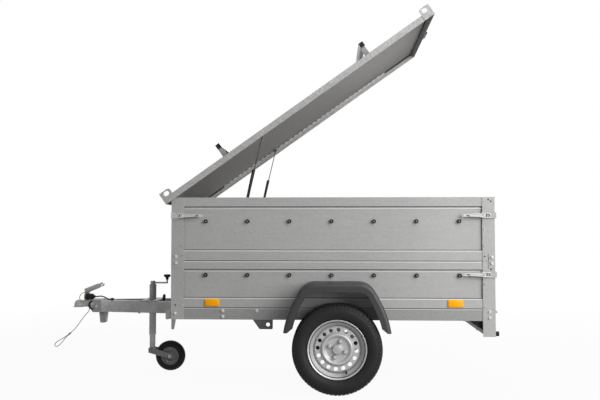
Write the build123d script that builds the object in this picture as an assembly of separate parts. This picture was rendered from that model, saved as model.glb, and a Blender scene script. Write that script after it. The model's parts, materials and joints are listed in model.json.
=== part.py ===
from build123d import *
import math
import os

# A single-axle utility trailer with raised boards and a hinged steel lid, in millimetres.
# +X points to the rear, -Y to the left side and +Z up. The origin lies on the ground, on the
# centre line, midway along the whole length. Left-side shapes are built first and mirrored.

# Box
drawbar_reach = 826
box_length = 2026
box_width = 1160
buffer_depth = 24
sill_bottom = 430
sill_height = 75
sill_depth = 40
sill_sheet = 3
floor_sheet = 9
floor_gap = 0.5
seam = 1

# Boards and posts
lower_board_height = 295
upper_board_height = 398
lower_bands = (58, 52)
upper_bands = (62, 57)
board_thickness = 25
field_recess = 8
field_sheet = 3
band_bevel = 5
post_sheet = 3
front_post_leg = 81
front_post_return = 50
rear_post_leg = 77
rear_post_foot = 332
stop_leg = 45
stop_setback = 31
front_joint_plate = 70
rear_joint_plate = 40
joint_plate_height = 90

# Tailgates
tailgate_side_gap = 5
tailgate_bottom_gap = 3
tailgate_top_gap = 6
tailgate_rear_gap = 3
tailgate_hinge_overhang = 9
tailgate_hinge_drop = 22
tailgate_hinge_inset = 48
hinge_pin_radius = 4
hinge_bore_gap = 0.1
tailgate_knuckle_radius = 8
tailgate_knuckle_half = 12
tailgate_knuckle_outer = 26
knuckle_gap = 0.3
tailgate_leaf_height = 75
leaf_sheet = 3
upper_tailgate_pivot_rise = 16
upper_tailgate_edge = 10
upper_tailgate_pin_radius = 6
upper_tailgate_pin_stub = 2
upper_tailgate_pin_root = 8
swing_clearance = 5

# Latches
latch_heights = {"upper": 1083, "lower": 716}
latch_base_length = 26
latch_base_height = 34
latch_lever_length = 147
latch_lever_root = 28
latch_lever_tip = 15
latch_lever_hole = 3.5
latch_lever_corner = 6
latch_lever_sheet = 6
latch_sheet = 3
catch_length = 50
catch_height = 36
catch_pad_length = 32

# Side fittings
button_radius = 13
button_height = 16
button_neck_radius = 8
button_neck_start = 3
button_neck_end = 9
button_margin = 218
button_count = 7
button_rows = (1047, 709)
reflector_length = 94
reflector_height = 46
reflector_depth = 7
reflector_corner = 3
reflector_front = 260
reflector_rear = 246
reflector_level = 535
jack_start = 518
jack_end = 644
jack_toe = 42
jack_drop = 59
jack_sheet = 4
jack_hole_radius = 12.5
jack_hole_from_end = 30
jack_hole_drop = 30
jack_corner = 8
hook_reach = 34
hook_leaf_bottom = 428
hook_leaf_top = 492
hook_tab_bottom = 366
hook_tab_length = 28
hook_tab_end = 17
hook_toe = 27
hook_corner = 7
hook_brow_corner = 21
hook_sheet = 6

# Rear lighting
light_bar_web_setback = 50
light_bar_lip_setback = 5
light_bar_sheet = 3
gusset_length = 110
gusset_height = 74
gusset_inset = 40
lamp_length = 220
lamp_height = 88
lamp_depth = 38
lamp_corner = 10
lamp_inset = 52
rear_reflector_side = 104
rear_reflector_depth = 7
rear_reflector_gap = 8
buffer_radius = 15
buffer_inset = 25
buffer_rise = 9
buffer_tab_depth = 3

# Drawbar and coupling: setbacks and the handle's (x, z) points run back from the coupling's tip
rail_setback = 145
rail_end = 1023
rail_nose_half = 45
rail_rear_half = 330
rail_height = 80
rail_flange = 30
rail_sheet = 4
nose_sheet = 4
nose_setback = 130
nose_length = 85
nose_gap = 0.3
nose_cut_length = 22
nose_cut_height = 32
ball_setback = 38
ball_level = 462
socket_radius = 25.5
dome_radius = 33
lip_radius = 38
lip_height = 5
socket_skirt = 18
shank_half = 27
shank_bottom = 446
shank_length = 148
shank_corner = 9
handle_half = 12
handle_grip_radius = 14
handle_grip_bore = 7
handle_foot = (83, 556)
handle_end = (204, 604)
handle_neck_length = 30
dock_setback = 190
dock_length = 55
dock_bottom = 335
dock_taper = 9
dock_half = 22
dock_slot = 10
dock_slot_height = 24
dock_corner = 6

# Jockey stand
jockey_from_front = 257
jockey_tube_radius = 24
jockey_tube_bore = 20.5
jockey_tube_bottom = 251
jockey_tube_top = 606
jockey_cap_radius = 17
jockey_cap_height = 24
crank_level = 617
crank_reach = 102
crank_radius = 6
crank_rise = 22
knob_radius = 25
knob_neck_radius = 10
knob_top = 676
jockey_leg_radius = 20
jockey_leg_wall = 3
jockey_leg_bottom = 161
jockey_leg_top = 470
fork_trail = 130
fork_crown_top = 160
fork_crown_bottom = 150
fork_plate_inner = 34
fork_plate = 4
fork_heel = 31
fork_eye_radius = 19
fork_stem_radius = 10
fork_stem_length = 45
fork_stem_gap = 0.3
leg_bush_height = 12
jockey_wheel_radius = 105
jockey_wheel_width = 60
jockey_crown_drop = 16.5
jockey_bead_half = 24
jockey_rim_radius = 62
jockey_rim_width = 50
jockey_lip = 5
jockey_disc_half = 7.5
jockey_dish = 16
jockey_axle_radius = 8
jockey_hub_radius = 22
clamp_plate = 4
clamp_half_length = 60
clamp_overlap = 13
clamp_collar_radius = 34
clamp_collar_height = 60
clamp_gap = 0.3
clamp_lever_reach = 80
clamp_lever_radius = 7
clamp_lever_bottom = 477
clamp_lever_top = 534

# Axle and wheels
axle_from_front = 1046
tyre_diameter = 547
tyre_width = 157
wheel_outset = 115
rim_seat_radius = 165
rim_flange_radius = 183
rim_half_width = 57
rim_sheet = 4
rim_well_depth = 23
rim_well_outer = 28
rim_well_inner = -6
rim_well_slope_outer = 8
rim_well_slope_inner = 14
tyre_gap = 0.3
tyre_flange_cover = 2
tyre_belly_rise = 6
tyre_shoulder = (14, 69)
tyre_shoulder_middle = (4, 63.5)
tread_half = 56.5
vent_count = 16
vent_turn = -4
vent_radius = 12.5
vent_circle = 115
wheel_offset = 30
disc_bore = 29.5
disc_depth = 6
# the disc's outer and inner faces between rim and centre: (radius, outwards)
disc_face = ((138, 21), (127.5, 32), (105, 40), (92, 48.5), (79, 46.5), (68.5, 34))
disc_back = ((70, 30), (81, 42), (92, 44.5), (103, 36), (124.5, 28), (134, 19))
hub_flange_radius = 66
hub_flange_depth = 10
hub_body_radius = 36
hub_inner_end = 80
hub_cap_radius = 29
hub_cap_height = 24
hub_cap_dome = 8
hub_cap_top = 22
hub_end_gap = 5
stub_radius = 20
stub_gap = 0.1
stub_reach = 15
axle_beam_size = 70
axle_beam_wall = 5
axle_beam_lead = 110
middle_member_lag = 140
arm_radius = 34
arm_sheet = 18
arm_inset = 2
axle_pad_length = 120
axle_pad_width = 36

# Fenders
fender_width = 208
fender_wall = 3.5
fender_edge_radius = 24
fender_skirt = 52
fender_inner_flange = 25
fender_foot = 375
fender_half_foot = 325
fender_shoulder = (307, 480)
fender_crown = (203, 673)
fender_shoulder_radius = 600
fender_crown_radius = 115
fender_toe = (24, 44)

# Lid
lid_front_overhang = 24
lid_rear_overhang = 28
lid_skirt_height = 38
lid_side_gap = 7
lid_skirt_sheet = 3
lid_sheet = 2
lid_seat_gap = 5
lid_hinge_forward = 8
lid_hinge_drop = 52
lid_open_angle = 35.2
lid_hinge_inset = 177
lid_knuckle_radius = 7
lid_knuckle_half = 20
lid_leaf_height = 50
lid_base_half = 45
lid_base_height = 62
ear_length = 76
ear_rise = 40
ear_sheet = 3
ear_corner = 18
ear_hole_length = 36
ear_hole_width = 29
ear_hole_from_end = 42
ear_hole_drop = 23
crossbar_size = 30
crossbar_wall = 2
crossbar_end_inset = 27
crossbar_inset = 482
crossbar_rise = 76
crossbar_leg_sheet = 4
crossbar_leg_width = 34
crossbar_leg_inset = 40
crossbar_foot = 36
crossbar_cap = 4
lock_length = 150
lock_height = 30
lock_depth = 24
lock_corner = 8

# Gas struts
strut_inset = 24
strut_foot_behind_front = 456
strut_foot_drop = 96
strut_head_behind_hinge = 746
strut_head_below_lid = 12
strut_eye_radius = 9
strut_eye_half = 6
strut_pin_radius = 4
strut_pin_gap = 0.2
strut_tube_radius = 7.5
strut_tube_start = 7
strut_tube_end = 283
strut_rod_radius = 3
strut_rod_gap = 0.3
strut_rod_start = 245
strut_bore_start = 12
strut_bracket_sheet = 3
strut_bracket_length = 110
strut_bracket_below = 137
strut_bracket_above = 23
strut_side_gap = 0.3
strut_lid_bracket = 3
strut_lid_bracket_half = 22

# Cords
cable_diameter = 5
lead_diameter = 9
cord_bend_share = 0.45
plug_radius = 20
plug_length = 40
plug_neck_radius = 11
plug_neck_length = 12
plug_cap_radius = 23
plug_cap_length = 20
gland_length = 18
gland_half = 9
hook_ring_radius = 5
hook_ring_gap = 0.3
# the cable hook's bend beside the nose: (distance behind the coupling's tip, z)
hook_ring = ((147, 489), (128, 461), (156, 433))

# Derived places
overall_length = drawbar_reach + box_length + buffer_depth
x_front = -overall_length / 2 + drawbar_reach
x_rear = x_front + box_length
post_face = box_width / 2
board_face = post_face - post_sheet
board_inner = board_face - board_thickness
field_face = board_face - field_recess
field_back = field_face - field_sheet
floor_top = sill_bottom + sill_height
floor_bottom = floor_top - floor_sheet
board_joint = floor_top + lower_board_height
box_top = board_joint + upper_board_height
sill_inner = board_face - sill_depth
board_start = x_front + post_sheet
stop_face = x_rear - stop_setback
board_end = stop_face - post_sheet
floor_start = board_start + board_thickness
axle_x = x_front + axle_from_front
tyre_plane = board_face + wheel_outset
wheel_radius = tyre_diameter / 2
arm_inner = board_face - arm_inset
fender_outer = board_face + fender_width
x_tip = x_front - drawbar_reach
ball_x = x_tip + ball_setback
rail_start = drawbar_reach - rail_setback
nose_front = drawbar_reach - nose_setback
nose_back = nose_front - nose_length
rail_bottom = floor_bottom - rail_height
shank_top = floor_bottom - rail_sheet
dock_x = x_tip + dock_setback + dock_length / 2
jockey_x = x_front - jockey_from_front
lid_front = x_front - lid_front_overhang
lid_rear = x_rear + lid_rear_overhang
lid_under = box_top + lid_seat_gap
lid_top = lid_under + lid_sheet
lid_skirt_inner = post_face + lid_side_gap
lid_skirt_outer = lid_skirt_inner + lid_skirt_sheet
lid_skirt_bottom = lid_top - lid_skirt_height
lid_hinge = (x_front - lid_hinge_forward, box_top - lid_hinge_drop)
lid_hinge_places = (lid_hinge_inset - board_face, 0, board_face - lid_hinge_inset)
crossbar_half = lid_skirt_outer - crossbar_end_inset
crossbar_places = (lid_front + crossbar_inset, lid_rear - crossbar_inset)
tailgate_half = board_face - tailgate_side_gap
tailgate_back = x_rear - tailgate_rear_gap
tailgate_hinge = (x_rear + tailgate_hinge_overhang, floor_top - tailgate_hinge_drop)
tailgate_hinge_places = (tailgate_hinge_inset - board_face, board_face - tailgate_hinge_inset)
tailgate_pivot = (tailgate_back - board_thickness / 2, board_joint + upper_tailgate_pivot_rise)
strut_plane = board_inner - strut_inset
strut_foot = (x_front + strut_foot_behind_front, box_top - strut_foot_drop)
strut_head_closed = (lid_hinge[0] + strut_head_behind_hinge, lid_under - strut_head_below_lid)


def block(x0, x1, y0, y1, z0, z1):
    """A box between two corners."""
    return Pos((x0 + x1) / 2, (y0 + y1) / 2, (z0 + z1) / 2) * Box(x1 - x0, y1 - y0, z1 - z0)


def rod_x(y, z, radius, x0, x1):
    """A cylinder along X."""
    return Pos((x0 + x1) / 2, y, z) * Rot(0, 90, 0) * Cylinder(radius, x1 - x0)


def rod_y(x, z, radius, y0, y1):
    """A cylinder along Y."""
    return Pos(x, (y0 + y1) / 2, z) * Rot(90, 0, 0) * Cylinder(radius, y1 - y0)


def rod_z(x, y, radius, z0, z1):
    """A cylinder along Z."""
    return Pos(x, y, (z0 + z1) / 2) * Cylinder(radius, z1 - z0)


def side_plate(face, y0, y1):
    """A plate between two Y planes from a face drawn in X and Z."""
    plane = Plane(origin=(0, y1, 0), x_dir=(1, 0, 0), z_dir=(0, -1, 0))
    return extrude(plane * face, amount=y1 - y0, dir=plane.z_dir)


def along_x(section, x0, x1):
    """A section drawn in Y and Z, drawn out along X."""
    plane = Plane(origin=(x0, 0, 0), x_dir=(0, 1, 0), z_dir=(1, 0, 0))
    return extrude(plane * section, amount=x1 - x0, dir=plane.z_dir)


def outline(*points):
    """A polygon face that keeps its coordinates."""
    return Polygon(*points, align=None)


def rounded(face, radius, *corners):
    """A face with the corners nearest to the given points rounded."""
    for x, y in corners:
        face = fillet(face.vertices().sort_by_distance((x, y, 0))[0], radius)
    return face


def closed(*lines):
    """A face inside a ring of lines and arcs."""
    return make_face(Curve() + list(lines))


def both_sides(*shapes):
    """Left-side shapes with their mirror images on the right."""
    return [half for shape in shapes for half in (shape, mirror(shape, about=Plane.XZ))]


def save(name, *pieces):
    """Writes one node from all the solids of its pieces."""
    solids = [solid for piece in pieces for solid in piece.solids()]
    export_step(Compound(solids), f"parts/{name}.step")


def open_lid(piece):
    """Turns a lid piece, drawn closed, to its open place about the lid hinge."""
    return piece.rotate(Axis((lid_hinge[0], 0, lid_hinge[1]), (0, -1, 0)), lid_open_angle)


def turned(point, angle):
    """A closed lid point (x, z) at an opening angle in degrees."""
    dx = point[0] - lid_hinge[0]
    dz = point[1] - lid_hinge[1]
    c = math.cos(math.radians(angle))
    s = math.sin(math.radians(angle))
    return (lid_hinge[0] + dx * c - dz * s, lid_hinge[1] + dx * s + dz * c)


# Boards: pressed sheet with two full-depth bands and a recessed field between them

def board_section(height, bands, hollow_bands=True):
    """u runs inwards from the outer face and v up from the bottom edge."""
    back = field_recess + field_sheet
    low, top_band = bands
    high = height - top_band
    section = outline(
        (0, 0), (0, low), (field_recess, low + band_bevel),
        (field_recess, high - band_bevel), (0, high), (0, height),
        (board_thickness, height), (board_thickness, high), (back, high - band_bevel),
        (back, low + band_bevel), (board_thickness, low), (board_thickness, 0),
    )
    if hollow_bands:
        for start, end in ((0, low), (high, height)):
            hollow = Rectangle(board_thickness - 2 * field_sheet, end - start - 2 * field_sheet)
            section -= Pos(board_thickness / 2, (start + end) / 2) * hollow
    return section


def side_board(bottom, height, bands):
    plane = Plane(origin=(board_start, -board_face, bottom), x_dir=(0, 1, 0), z_dir=(1, 0, 0))
    return extrude(plane * board_section(height, bands), amount=board_end - board_start, dir=plane.z_dir)


def front_board(bottom, height, bands):
    plane = Plane(origin=(board_start, board_inner, bottom), x_dir=(1, 0, 0), z_dir=(0, -1, 0))
    return extrude(plane * board_section(height, bands), amount=2 * board_inner, dir=plane.z_dir)


def tail_board(bottom, height, bands):
    """A board across the rear, closed at both ends."""
    plane = Plane(origin=(tailgate_back, -tailgate_half, bottom), x_dir=(-1, 0, 0), z_dir=(0, 1, 0))
    board = extrude(plane * board_section(height, bands), amount=2 * tailgate_half, dir=plane.z_dir)
    end = extrude(
        plane * board_section(height, bands, hollow_bands=False), amount=field_sheet, dir=plane.z_dir
    )
    for piece in both_sides(end):
        board += piece
    return board


lower_level = (floor_top, lower_board_height - seam, lower_bands)
upper_level = (board_joint, upper_board_height, upper_bands)


# Chassis

def chassis():
    web = board_face - sill_sheet
    sill = block(board_start, board_end, -board_face, -web, sill_bottom, floor_top)
    for level in (sill_bottom, floor_top - sill_sheet):
        sill += block(board_start, board_end, -web, -sill_inner, level, level + sill_sheet)

    # the front member has a ledge, level with the floor, that the front board stands on
    front_member = member(board_start)
    front_member += block(board_start, floor_start, -sill_inner, sill_inner, floor_bottom, floor_top)
    for envelope in both_sides(rail_envelope()):
        front_member -= envelope
    middle_member = member(axle_x + middle_member_lag)
    rear_member = member(board_end - sill_depth)
    for y in tailgate_hinge_places:
        rear_member += tailgate_hinge_base(y)
    floor = block(
        floor_start + floor_gap, board_end, -sill_inner + floor_gap, sill_inner - floor_gap,
        floor_bottom, floor_top,
    )
    return both_sides(sill), [front_member, middle_member, rear_member], floor


def member(x):
    """A cross member: a box section between the sills."""
    web = block(x, x + sill_sheet, -sill_inner, sill_inner, sill_bottom, floor_bottom)
    low = block(x, x + sill_depth, -sill_inner, sill_inner, sill_bottom, sill_bottom + sill_sheet)
    high = block(x, x + sill_depth, -sill_inner, sill_inner, floor_bottom - sill_sheet, floor_bottom)
    back_lip = block(
        x + sill_depth - sill_sheet, x + sill_depth, -sill_inner, sill_inner, sill_bottom, floor_bottom
    )
    return web + low + high + back_lip


def tailgate_hinge_base(y):
    """Two knuckles, their pin and the leaf that carries them off the rear member."""
    x, z = tailgate_hinge
    base = rod_y(x, z, hinge_pin_radius, y - tailgate_knuckle_outer, y + tailgate_knuckle_outer)
    inner = tailgate_knuckle_half + knuckle_gap
    for y0, y1 in ((y - tailgate_knuckle_outer, y - inner), (y + inner, y + tailgate_knuckle_outer)):
        base += rod_y(x, z, tailgate_knuckle_radius, y0, y1)
        base += block(board_end, x, y0, y1, z - leaf_sheet, z + leaf_sheet)
    return base


# Drawbar

def rail_plane():
    """Origin at the foot of the left rail's nose, +Z along the rail and +X towards the centre."""
    run = rail_start + rail_end
    spread = rail_rear_half - rail_nose_half
    length = math.hypot(run, spread)
    return length, Plane(
        origin=(x_front - rail_start, -rail_nose_half, rail_bottom),
        x_dir=(spread / length, run / length, 0),
        z_dir=(run / length, -spread / length, 0),
    )


def rail():
    length, plane = rail_plane()
    inner = rail_height - rail_sheet
    section = outline(
        (0, 0), (rail_flange, 0), (rail_flange, rail_sheet), (rail_sheet, rail_sheet),
        (rail_sheet, inner), (rail_flange, inner), (rail_flange, rail_height), (0, rail_height),
    )
    return extrude(plane * section, amount=length, dir=plane.z_dir) - nose_cut()


def nose_cut():
    """The wedge taken off the drawbar's lower front corner."""
    front, bottom = x_front - nose_front, rail_bottom - nose_sheet
    wedge = outline((front, bottom), (front + nose_cut_length, bottom), (front, bottom + nose_cut_height))
    half = rail_half_width(nose_back) + 2 * nose_sheet
    return side_plate(wedge, -half, half)


def rail_envelope():
    """The room that a rail takes where it passes through the front member."""
    length, plane = rail_plane()
    gap = floor_gap
    section = outline(
        (-gap, -gap), (rail_flange + gap, -gap),
        (rail_flange + gap, rail_height + gap), (-gap, rail_height + gap),
    )
    return extrude(plane * section, amount=length, dir=plane.z_dir)


def rail_half_width(from_front):
    """Outer half width over the rails at a place in front of the box."""
    slope = (rail_rear_half - rail_nose_half) / (rail_start + rail_end)
    return rail_nose_half + (rail_start - from_front) * slope


def nose_bracket():
    """A tapered sleeve round the rails' front ends, open at both ends."""
    def plan(front, back, margin):
        half_front = rail_half_width(nose_front) + margin
        half_back = rail_half_width(nose_back) + margin
        return outline(
            (x_front - front, -half_front), (x_front - back, -half_back),
            (x_front - back, half_back), (x_front - front, half_front),
        )

    outer = extrude(
        Pos(0, 0, rail_bottom - nose_sheet) * plan(nose_front, nose_back, nose_gap + nose_sheet),
        amount=rail_height + 2 * nose_sheet, dir=(0, 0, 1),
    )
    inner = extrude(
        Pos(0, 0, rail_bottom) * plan(nose_front, nose_back, nose_gap), amount=rail_height, dir=(0, 0, 1)
    )
    return outer - inner - nose_cut()


def coupling_head():
    """Ball housing with a flared lip, carried on a shank between the rails."""
    feet = [(-shank_half, shank_bottom), (shank_half, shank_bottom)]
    section = outline(*feet, (shank_half, shank_top), (-shank_half, shank_top))
    section = rounded(section, shank_corner, *feet)
    shank = along_x(section, ball_x, ball_x + shank_length)
    dome = Pos(ball_x, 0, ball_level) * Sphere(dome_radius)
    wall = rod_z(ball_x, 0, dome_radius, ball_level - socket_skirt, ball_level)
    lip = rod_z(ball_x, 0, lip_radius, ball_level - socket_skirt, ball_level - socket_skirt + lip_height)
    room = rod_z(ball_x, 0, socket_radius, ball_level - dome_radius, ball_level)
    cup = Pos(ball_x, 0, ball_level) * Sphere(socket_radius)
    below = block(
        ball_x - lip_radius, ball_x + lip_radius, -lip_radius, lip_radius,
        ball_level - 2 * dome_radius, ball_level - socket_skirt,
    )
    return (dome + wall + lip + shank) - below - room - cup


def coupling_handle():
    """Folded lever with a rounded grip, on a neck that stands on the shank."""
    foot_x, foot_z = x_tip + handle_foot[0], handle_foot[1]
    end_x, end_z = x_tip + handle_end[0], handle_end[1]
    length = math.hypot(end_x - foot_x, end_z - foot_z)
    tilt = math.degrees(math.atan2(end_z - foot_z, end_x - foot_x))
    bar = Pos((foot_x + end_x) / 2, 0, (foot_z + end_z) / 2) * Rot(0, -tilt, 0) * Box(
        length, 2 * handle_half, 2 * handle_half
    )
    grip = rod_y(end_x, end_z, handle_grip_radius, -handle_half, handle_half)
    neck_x = foot_x + handle_neck_length / 2
    neck = block(
        neck_x - handle_neck_length / 2, neck_x + handle_neck_length / 2,
        -handle_half, handle_half, shank_top, foot_z + handle_half,
    )
    return bar + grip + neck - rod_y(end_x, end_z, handle_grip_bore, -handle_half, handle_half)


def plug_dock():
    """A tapered holder that hangs under the nose sleeve on two legs."""
    top = rail_bottom - nose_sheet
    front, back = dock_x - dock_length / 2, dock_x + dock_length / 2
    toe, heel = (front + dock_taper, dock_bottom), (back - dock_taper, dock_bottom)
    body = side_plate(
        rounded(outline((front, top), (back, top), heel, toe), dock_corner, toe, heel), -dock_half, dock_half
    )
    return body - block(
        dock_x - dock_slot / 2, dock_x + dock_slot / 2, -dock_half, dock_half, top - dock_slot_height, top
    )


# Jockey stand

def jockey_stand():
    tube = rod_z(jockey_x, 0, jockey_tube_radius, jockey_tube_bottom, jockey_tube_top)
    tube += rod_z(jockey_x, 0, jockey_cap_radius, jockey_tube_top, jockey_tube_top + jockey_cap_height)
    tube -= rod_z(
        jockey_x, 0, jockey_tube_bore, jockey_tube_bottom, jockey_tube_top - jockey_leg_wall
    )

    hole = jockey_tube_radius + clamp_gap
    half_width = rail_half_width(jockey_from_front) + clamp_overlap
    clamp = block(
        jockey_x - clamp_half_length, jockey_x + clamp_half_length,
        -half_width, half_width, floor_bottom, floor_bottom + clamp_plate,
    )
    clamp += rod_z(jockey_x, 0, clamp_collar_radius, floor_bottom - clamp_collar_height, floor_bottom)
    clamp -= rod_z(jockey_x, 0, hole, floor_bottom - clamp_collar_height, floor_bottom + clamp_plate)

    crank_end = jockey_x + crank_reach
    crank = rod_x(0, crank_level, crank_radius, jockey_x + jockey_cap_radius, crank_end)
    crank += Pos(crank_end, 0, crank_level) * Sphere(crank_radius)
    crank += rod_z(crank_end, 0, crank_radius, crank_level, crank_level + crank_rise)

    knob_foot = crank_level + crank_rise
    knob_rise = knob_top - knob_foot
    knob = revolve(
        Plane.XZ * outline(
            (0, 0), (knob_neck_radius, 0), (knob_neck_radius, knob_rise / 3),
            (knob_radius, knob_rise * 2 / 3), (knob_radius, knob_rise * 5 / 6),
            (knob_radius - knob_rise / 6, knob_rise), (0, knob_rise),
        ),
        Axis.Z,
    )
    knob = Pos(crank_end, 0, knob_foot) * knob

    lever_x = jockey_x + clamp_lever_reach
    screw_z = clamp_lever_bottom + clamp_lever_radius
    lever = rod_z(lever_x, 0, clamp_lever_radius, clamp_lever_bottom, clamp_lever_top)
    lever += rod_x(0, screw_z, clamp_lever_radius / 2, jockey_x + clamp_collar_radius, lever_x)
    return tube, clamp, crank, knob, lever


def jockey_leg():
    leg = rod_z(jockey_x, 0, jockey_leg_radius, jockey_leg_bottom, jockey_leg_top)
    bore = jockey_leg_radius - jockey_leg_wall
    leg -= rod_z(jockey_x, 0, bore, jockey_leg_bottom + leg_bush_height, jockey_leg_top)
    return leg - rod_z(
        jockey_x, 0, fork_stem_radius + fork_stem_gap, jockey_leg_bottom, jockey_leg_bottom + leg_bush_height
    )


def jockey_fork():
    """Crown, stem and two trailing plates that carry the axle pin."""
    wheel_x = jockey_x + fork_trail
    half_crown = jockey_leg_radius
    outer = fork_plate_inner + fork_plate
    crown = block(
        jockey_x - half_crown, jockey_x + half_crown, -outer, outer, fork_crown_bottom, fork_crown_top
    )
    crown += rod_z(jockey_x, 0, fork_stem_radius, fork_crown_top, fork_crown_top + fork_stem_length)
    arm = outline(
        (jockey_x - half_crown, fork_crown_top), (jockey_x + half_crown, fork_crown_top),
        (wheel_x, jockey_wheel_radius + fork_eye_radius), (wheel_x, jockey_wheel_radius - fork_eye_radius),
        (jockey_x - half_crown, fork_crown_top - fork_heel),
    )
    for plate in both_sides(
        side_plate(arm, -outer, -fork_plate_inner)
        + rod_y(wheel_x, jockey_wheel_radius, fork_eye_radius, -outer, -fork_plate_inner)
    ):
        crown += plate
    return crown + rod_y(wheel_x, jockey_wheel_radius, jockey_axle_radius, -outer, outer)


def jockey_wheel():
    place = Pos(jockey_x + fork_trail, 0, jockey_wheel_radius)
    half = jockey_wheel_width / 2
    crown = jockey_wheel_radius - jockey_crown_drop
    tyre = revolve(
        closed(
            Polyline(
                (crown, half), (jockey_rim_radius, jockey_bead_half), (jockey_rim_radius, -jockey_bead_half),
                (crown, -half),
            ),
            ThreePointArc((crown, -half), (jockey_wheel_radius, 0), (crown, half)),
        ),
        Axis.Y,
    )
    rim_half = jockey_rim_width / 2
    outer = jockey_rim_radius - tyre_gap
    bore = jockey_axle_radius + stub_gap
    lip, dish = outer - jockey_lip, jockey_hub_radius + jockey_dish
    web = jockey_disc_half
    rim = revolve(
        outline(
            (bore, -rim_half), (jockey_hub_radius, -rim_half), (dish, -web), (lip, -web), (lip, -rim_half),
            (outer, -rim_half), (outer, rim_half), (lip, rim_half), (lip, web), (dish, web),
            (jockey_hub_radius, rim_half), (bore, rim_half),
        ),
        Axis.Y,
    )
    return place * tyre, place * rim


# Posts

def posts():
    front = block(x_front, x_front + front_post_leg, -post_face, -board_face, 0, 1)
    front += block(x_front, x_front + post_sheet, -board_face, -post_face + front_post_return, 0, 1)
    front_section = front.faces().sort_by(Axis.Z)[0]
    levels = ((sill_bottom, board_joint - seam), (board_joint, box_top))
    fronts = [
        extrude(Pos(0, 0, low) * front_section, amount=high - low, dir=(0, 0, 1)) for low, high in levels
    ]

    rears = []
    pivot_top = tailgate_pivot[1] + board_thickness + swing_clearance
    # bottom and top of the side leg, then bottom of the stop leg
    for low, high, stop_low in (
        (rear_post_foot, board_joint - seam, floor_top),
        (board_joint, box_top, pivot_top),
    ):
        post = block(x_rear - rear_post_leg, x_rear, -post_face, -board_face, low, high)
        post += block(
            board_end, stop_face, -board_face, -post_face + stop_leg, stop_low, high
        )
        rears.append(post)
    pin_hole = upper_tailgate_pin_radius + hinge_bore_gap
    rears[1] -= rod_y(tailgate_pivot[0], tailgate_pivot[1], pin_hole, -post_face, -board_face)
    return both_sides(*fronts), both_sides(*rears)


def joint_plates():
    """Cover plates over the seam between lower and upper posts."""
    low = board_joint - joint_plate_height / 2
    high = board_joint + joint_plate_height / 2
    front = block(
        x_front, x_front + front_joint_plate, -post_face - post_sheet, -post_face, low, high
    )
    rear = block(
        x_rear - rear_joint_plate, x_rear, -post_face - post_sheet, -post_face, low, high
    )
    return both_sides(front, rear)


# Tailgates and latches

def catch(level, pad_face):
    """A catch strap: a pad on the tailgate, a plate behind the post and a leg along its side."""
    half = catch_height / 2
    plate_x = x_rear + swing_clearance
    leg_y = post_face + swing_clearance
    pad_outer = tailgate_half - swing_clearance
    strap = block(
        pad_face, plate_x, -pad_outer, -pad_outer + catch_pad_length, level - half, level + half
    )
    strap += block(
        plate_x, plate_x + latch_sheet, -leg_y - latch_sheet, -pad_outer + catch_pad_length,
        level - half, level + half,
    )
    strap += block(
        x_rear - catch_length, plate_x, -leg_y - latch_sheet, -leg_y, level - half, level + half
    )
    return strap


def lower_tailgate():
    bottom = floor_top + tailgate_bottom_gap
    gate = tail_board(bottom, board_joint - tailgate_top_gap - seam - bottom, lower_bands)
    for strap in both_sides(catch(latch_heights["lower"], tailgate_back - field_recess)):
        gate += strap
    x, z = tailgate_hinge
    for y in tailgate_hinge_places:
        y0, y1 = y - tailgate_knuckle_half, y + tailgate_knuckle_half
        gate += block(
            tailgate_back, tailgate_back + leaf_sheet, y0, y1, z - leaf_sheet, z + tailgate_leaf_height
        )
        gate += block(tailgate_back, x, y0, y1, z - leaf_sheet, z + leaf_sheet)
        gate += rod_y(x, z, tailgate_knuckle_radius, y0, y1)
        gate -= rod_y(x, z, hinge_pin_radius + hinge_bore_gap, y0, y1)
    return gate


def upper_tailgate():
    bottom = tailgate_pivot[1] - upper_tailgate_edge
    gate = tail_board(bottom, box_top - swing_clearance - bottom, upper_bands)
    for strap in both_sides(catch(latch_heights["upper"], tailgate_back - field_recess)):
        gate += strap
    x, z = tailgate_pivot
    pin_end = -board_face - upper_tailgate_pin_stub
    pin_root = -tailgate_half + upper_tailgate_pin_root
    for pin in both_sides(rod_y(x, z, upper_tailgate_pin_radius, pin_end, pin_root)):
        gate += pin
    return gate


def latch(edge, inward, level):
    """Base and tapered lever on a post; inward is the X sense from the corner along the side."""
    half = latch_base_height / 2
    near = edge + inward * (catch_length + swing_clearance + latch_sheet)
    far = near + inward * latch_base_length
    lever_face = post_face + 2 * swing_clearance
    x0, x1 = min(near, far), max(near, far)
    base = block(x0, x1, -post_face - latch_sheet, -post_face, level - half, level + half)
    pillar = half / 2
    base += block(x0, x1, -lever_face, -post_face - latch_sheet, level - pillar, level + pillar)
    tip = near + inward * latch_lever_length
    roots = [(near, level + latch_lever_root / 2 * side) for side in (-1, 1)]
    tips = [(tip, level + latch_lever_tip / 2 * side) for side in (1, -1)]
    shape = rounded(outline(*roots, *tips), latch_lever_corner, *roots, *tips)
    lever = side_plate(shape, -lever_face - latch_lever_sheet, -lever_face)
    hole_x = tip - inward * 2 * latch_lever_hole
    lever -= rod_y(hole_x, level, latch_lever_hole, -lever_face - latch_lever_sheet, -lever_face)
    return base + lever


def front_catch(level):
    """The fixed strap that the front latch hooks, folded round the front post."""
    half = catch_height / 2
    strap = block(
        x_front - latch_sheet, x_front + catch_length, -post_face - latch_sheet, -post_face,
        level - half, level + half,
    )
    return strap + block(
        x_front - latch_sheet, x_front, -post_face, -post_face + catch_pad_length,
        level - half, level + half,
    )


def latches():
    upper = latch_heights["upper"]
    return both_sides(
        latch(x_rear, -1, upper),
        latch(x_rear, -1, latch_heights["lower"]),
        latch(x_front, 1, upper),
        front_catch(upper),
    )


# Side and rear fittings

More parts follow.
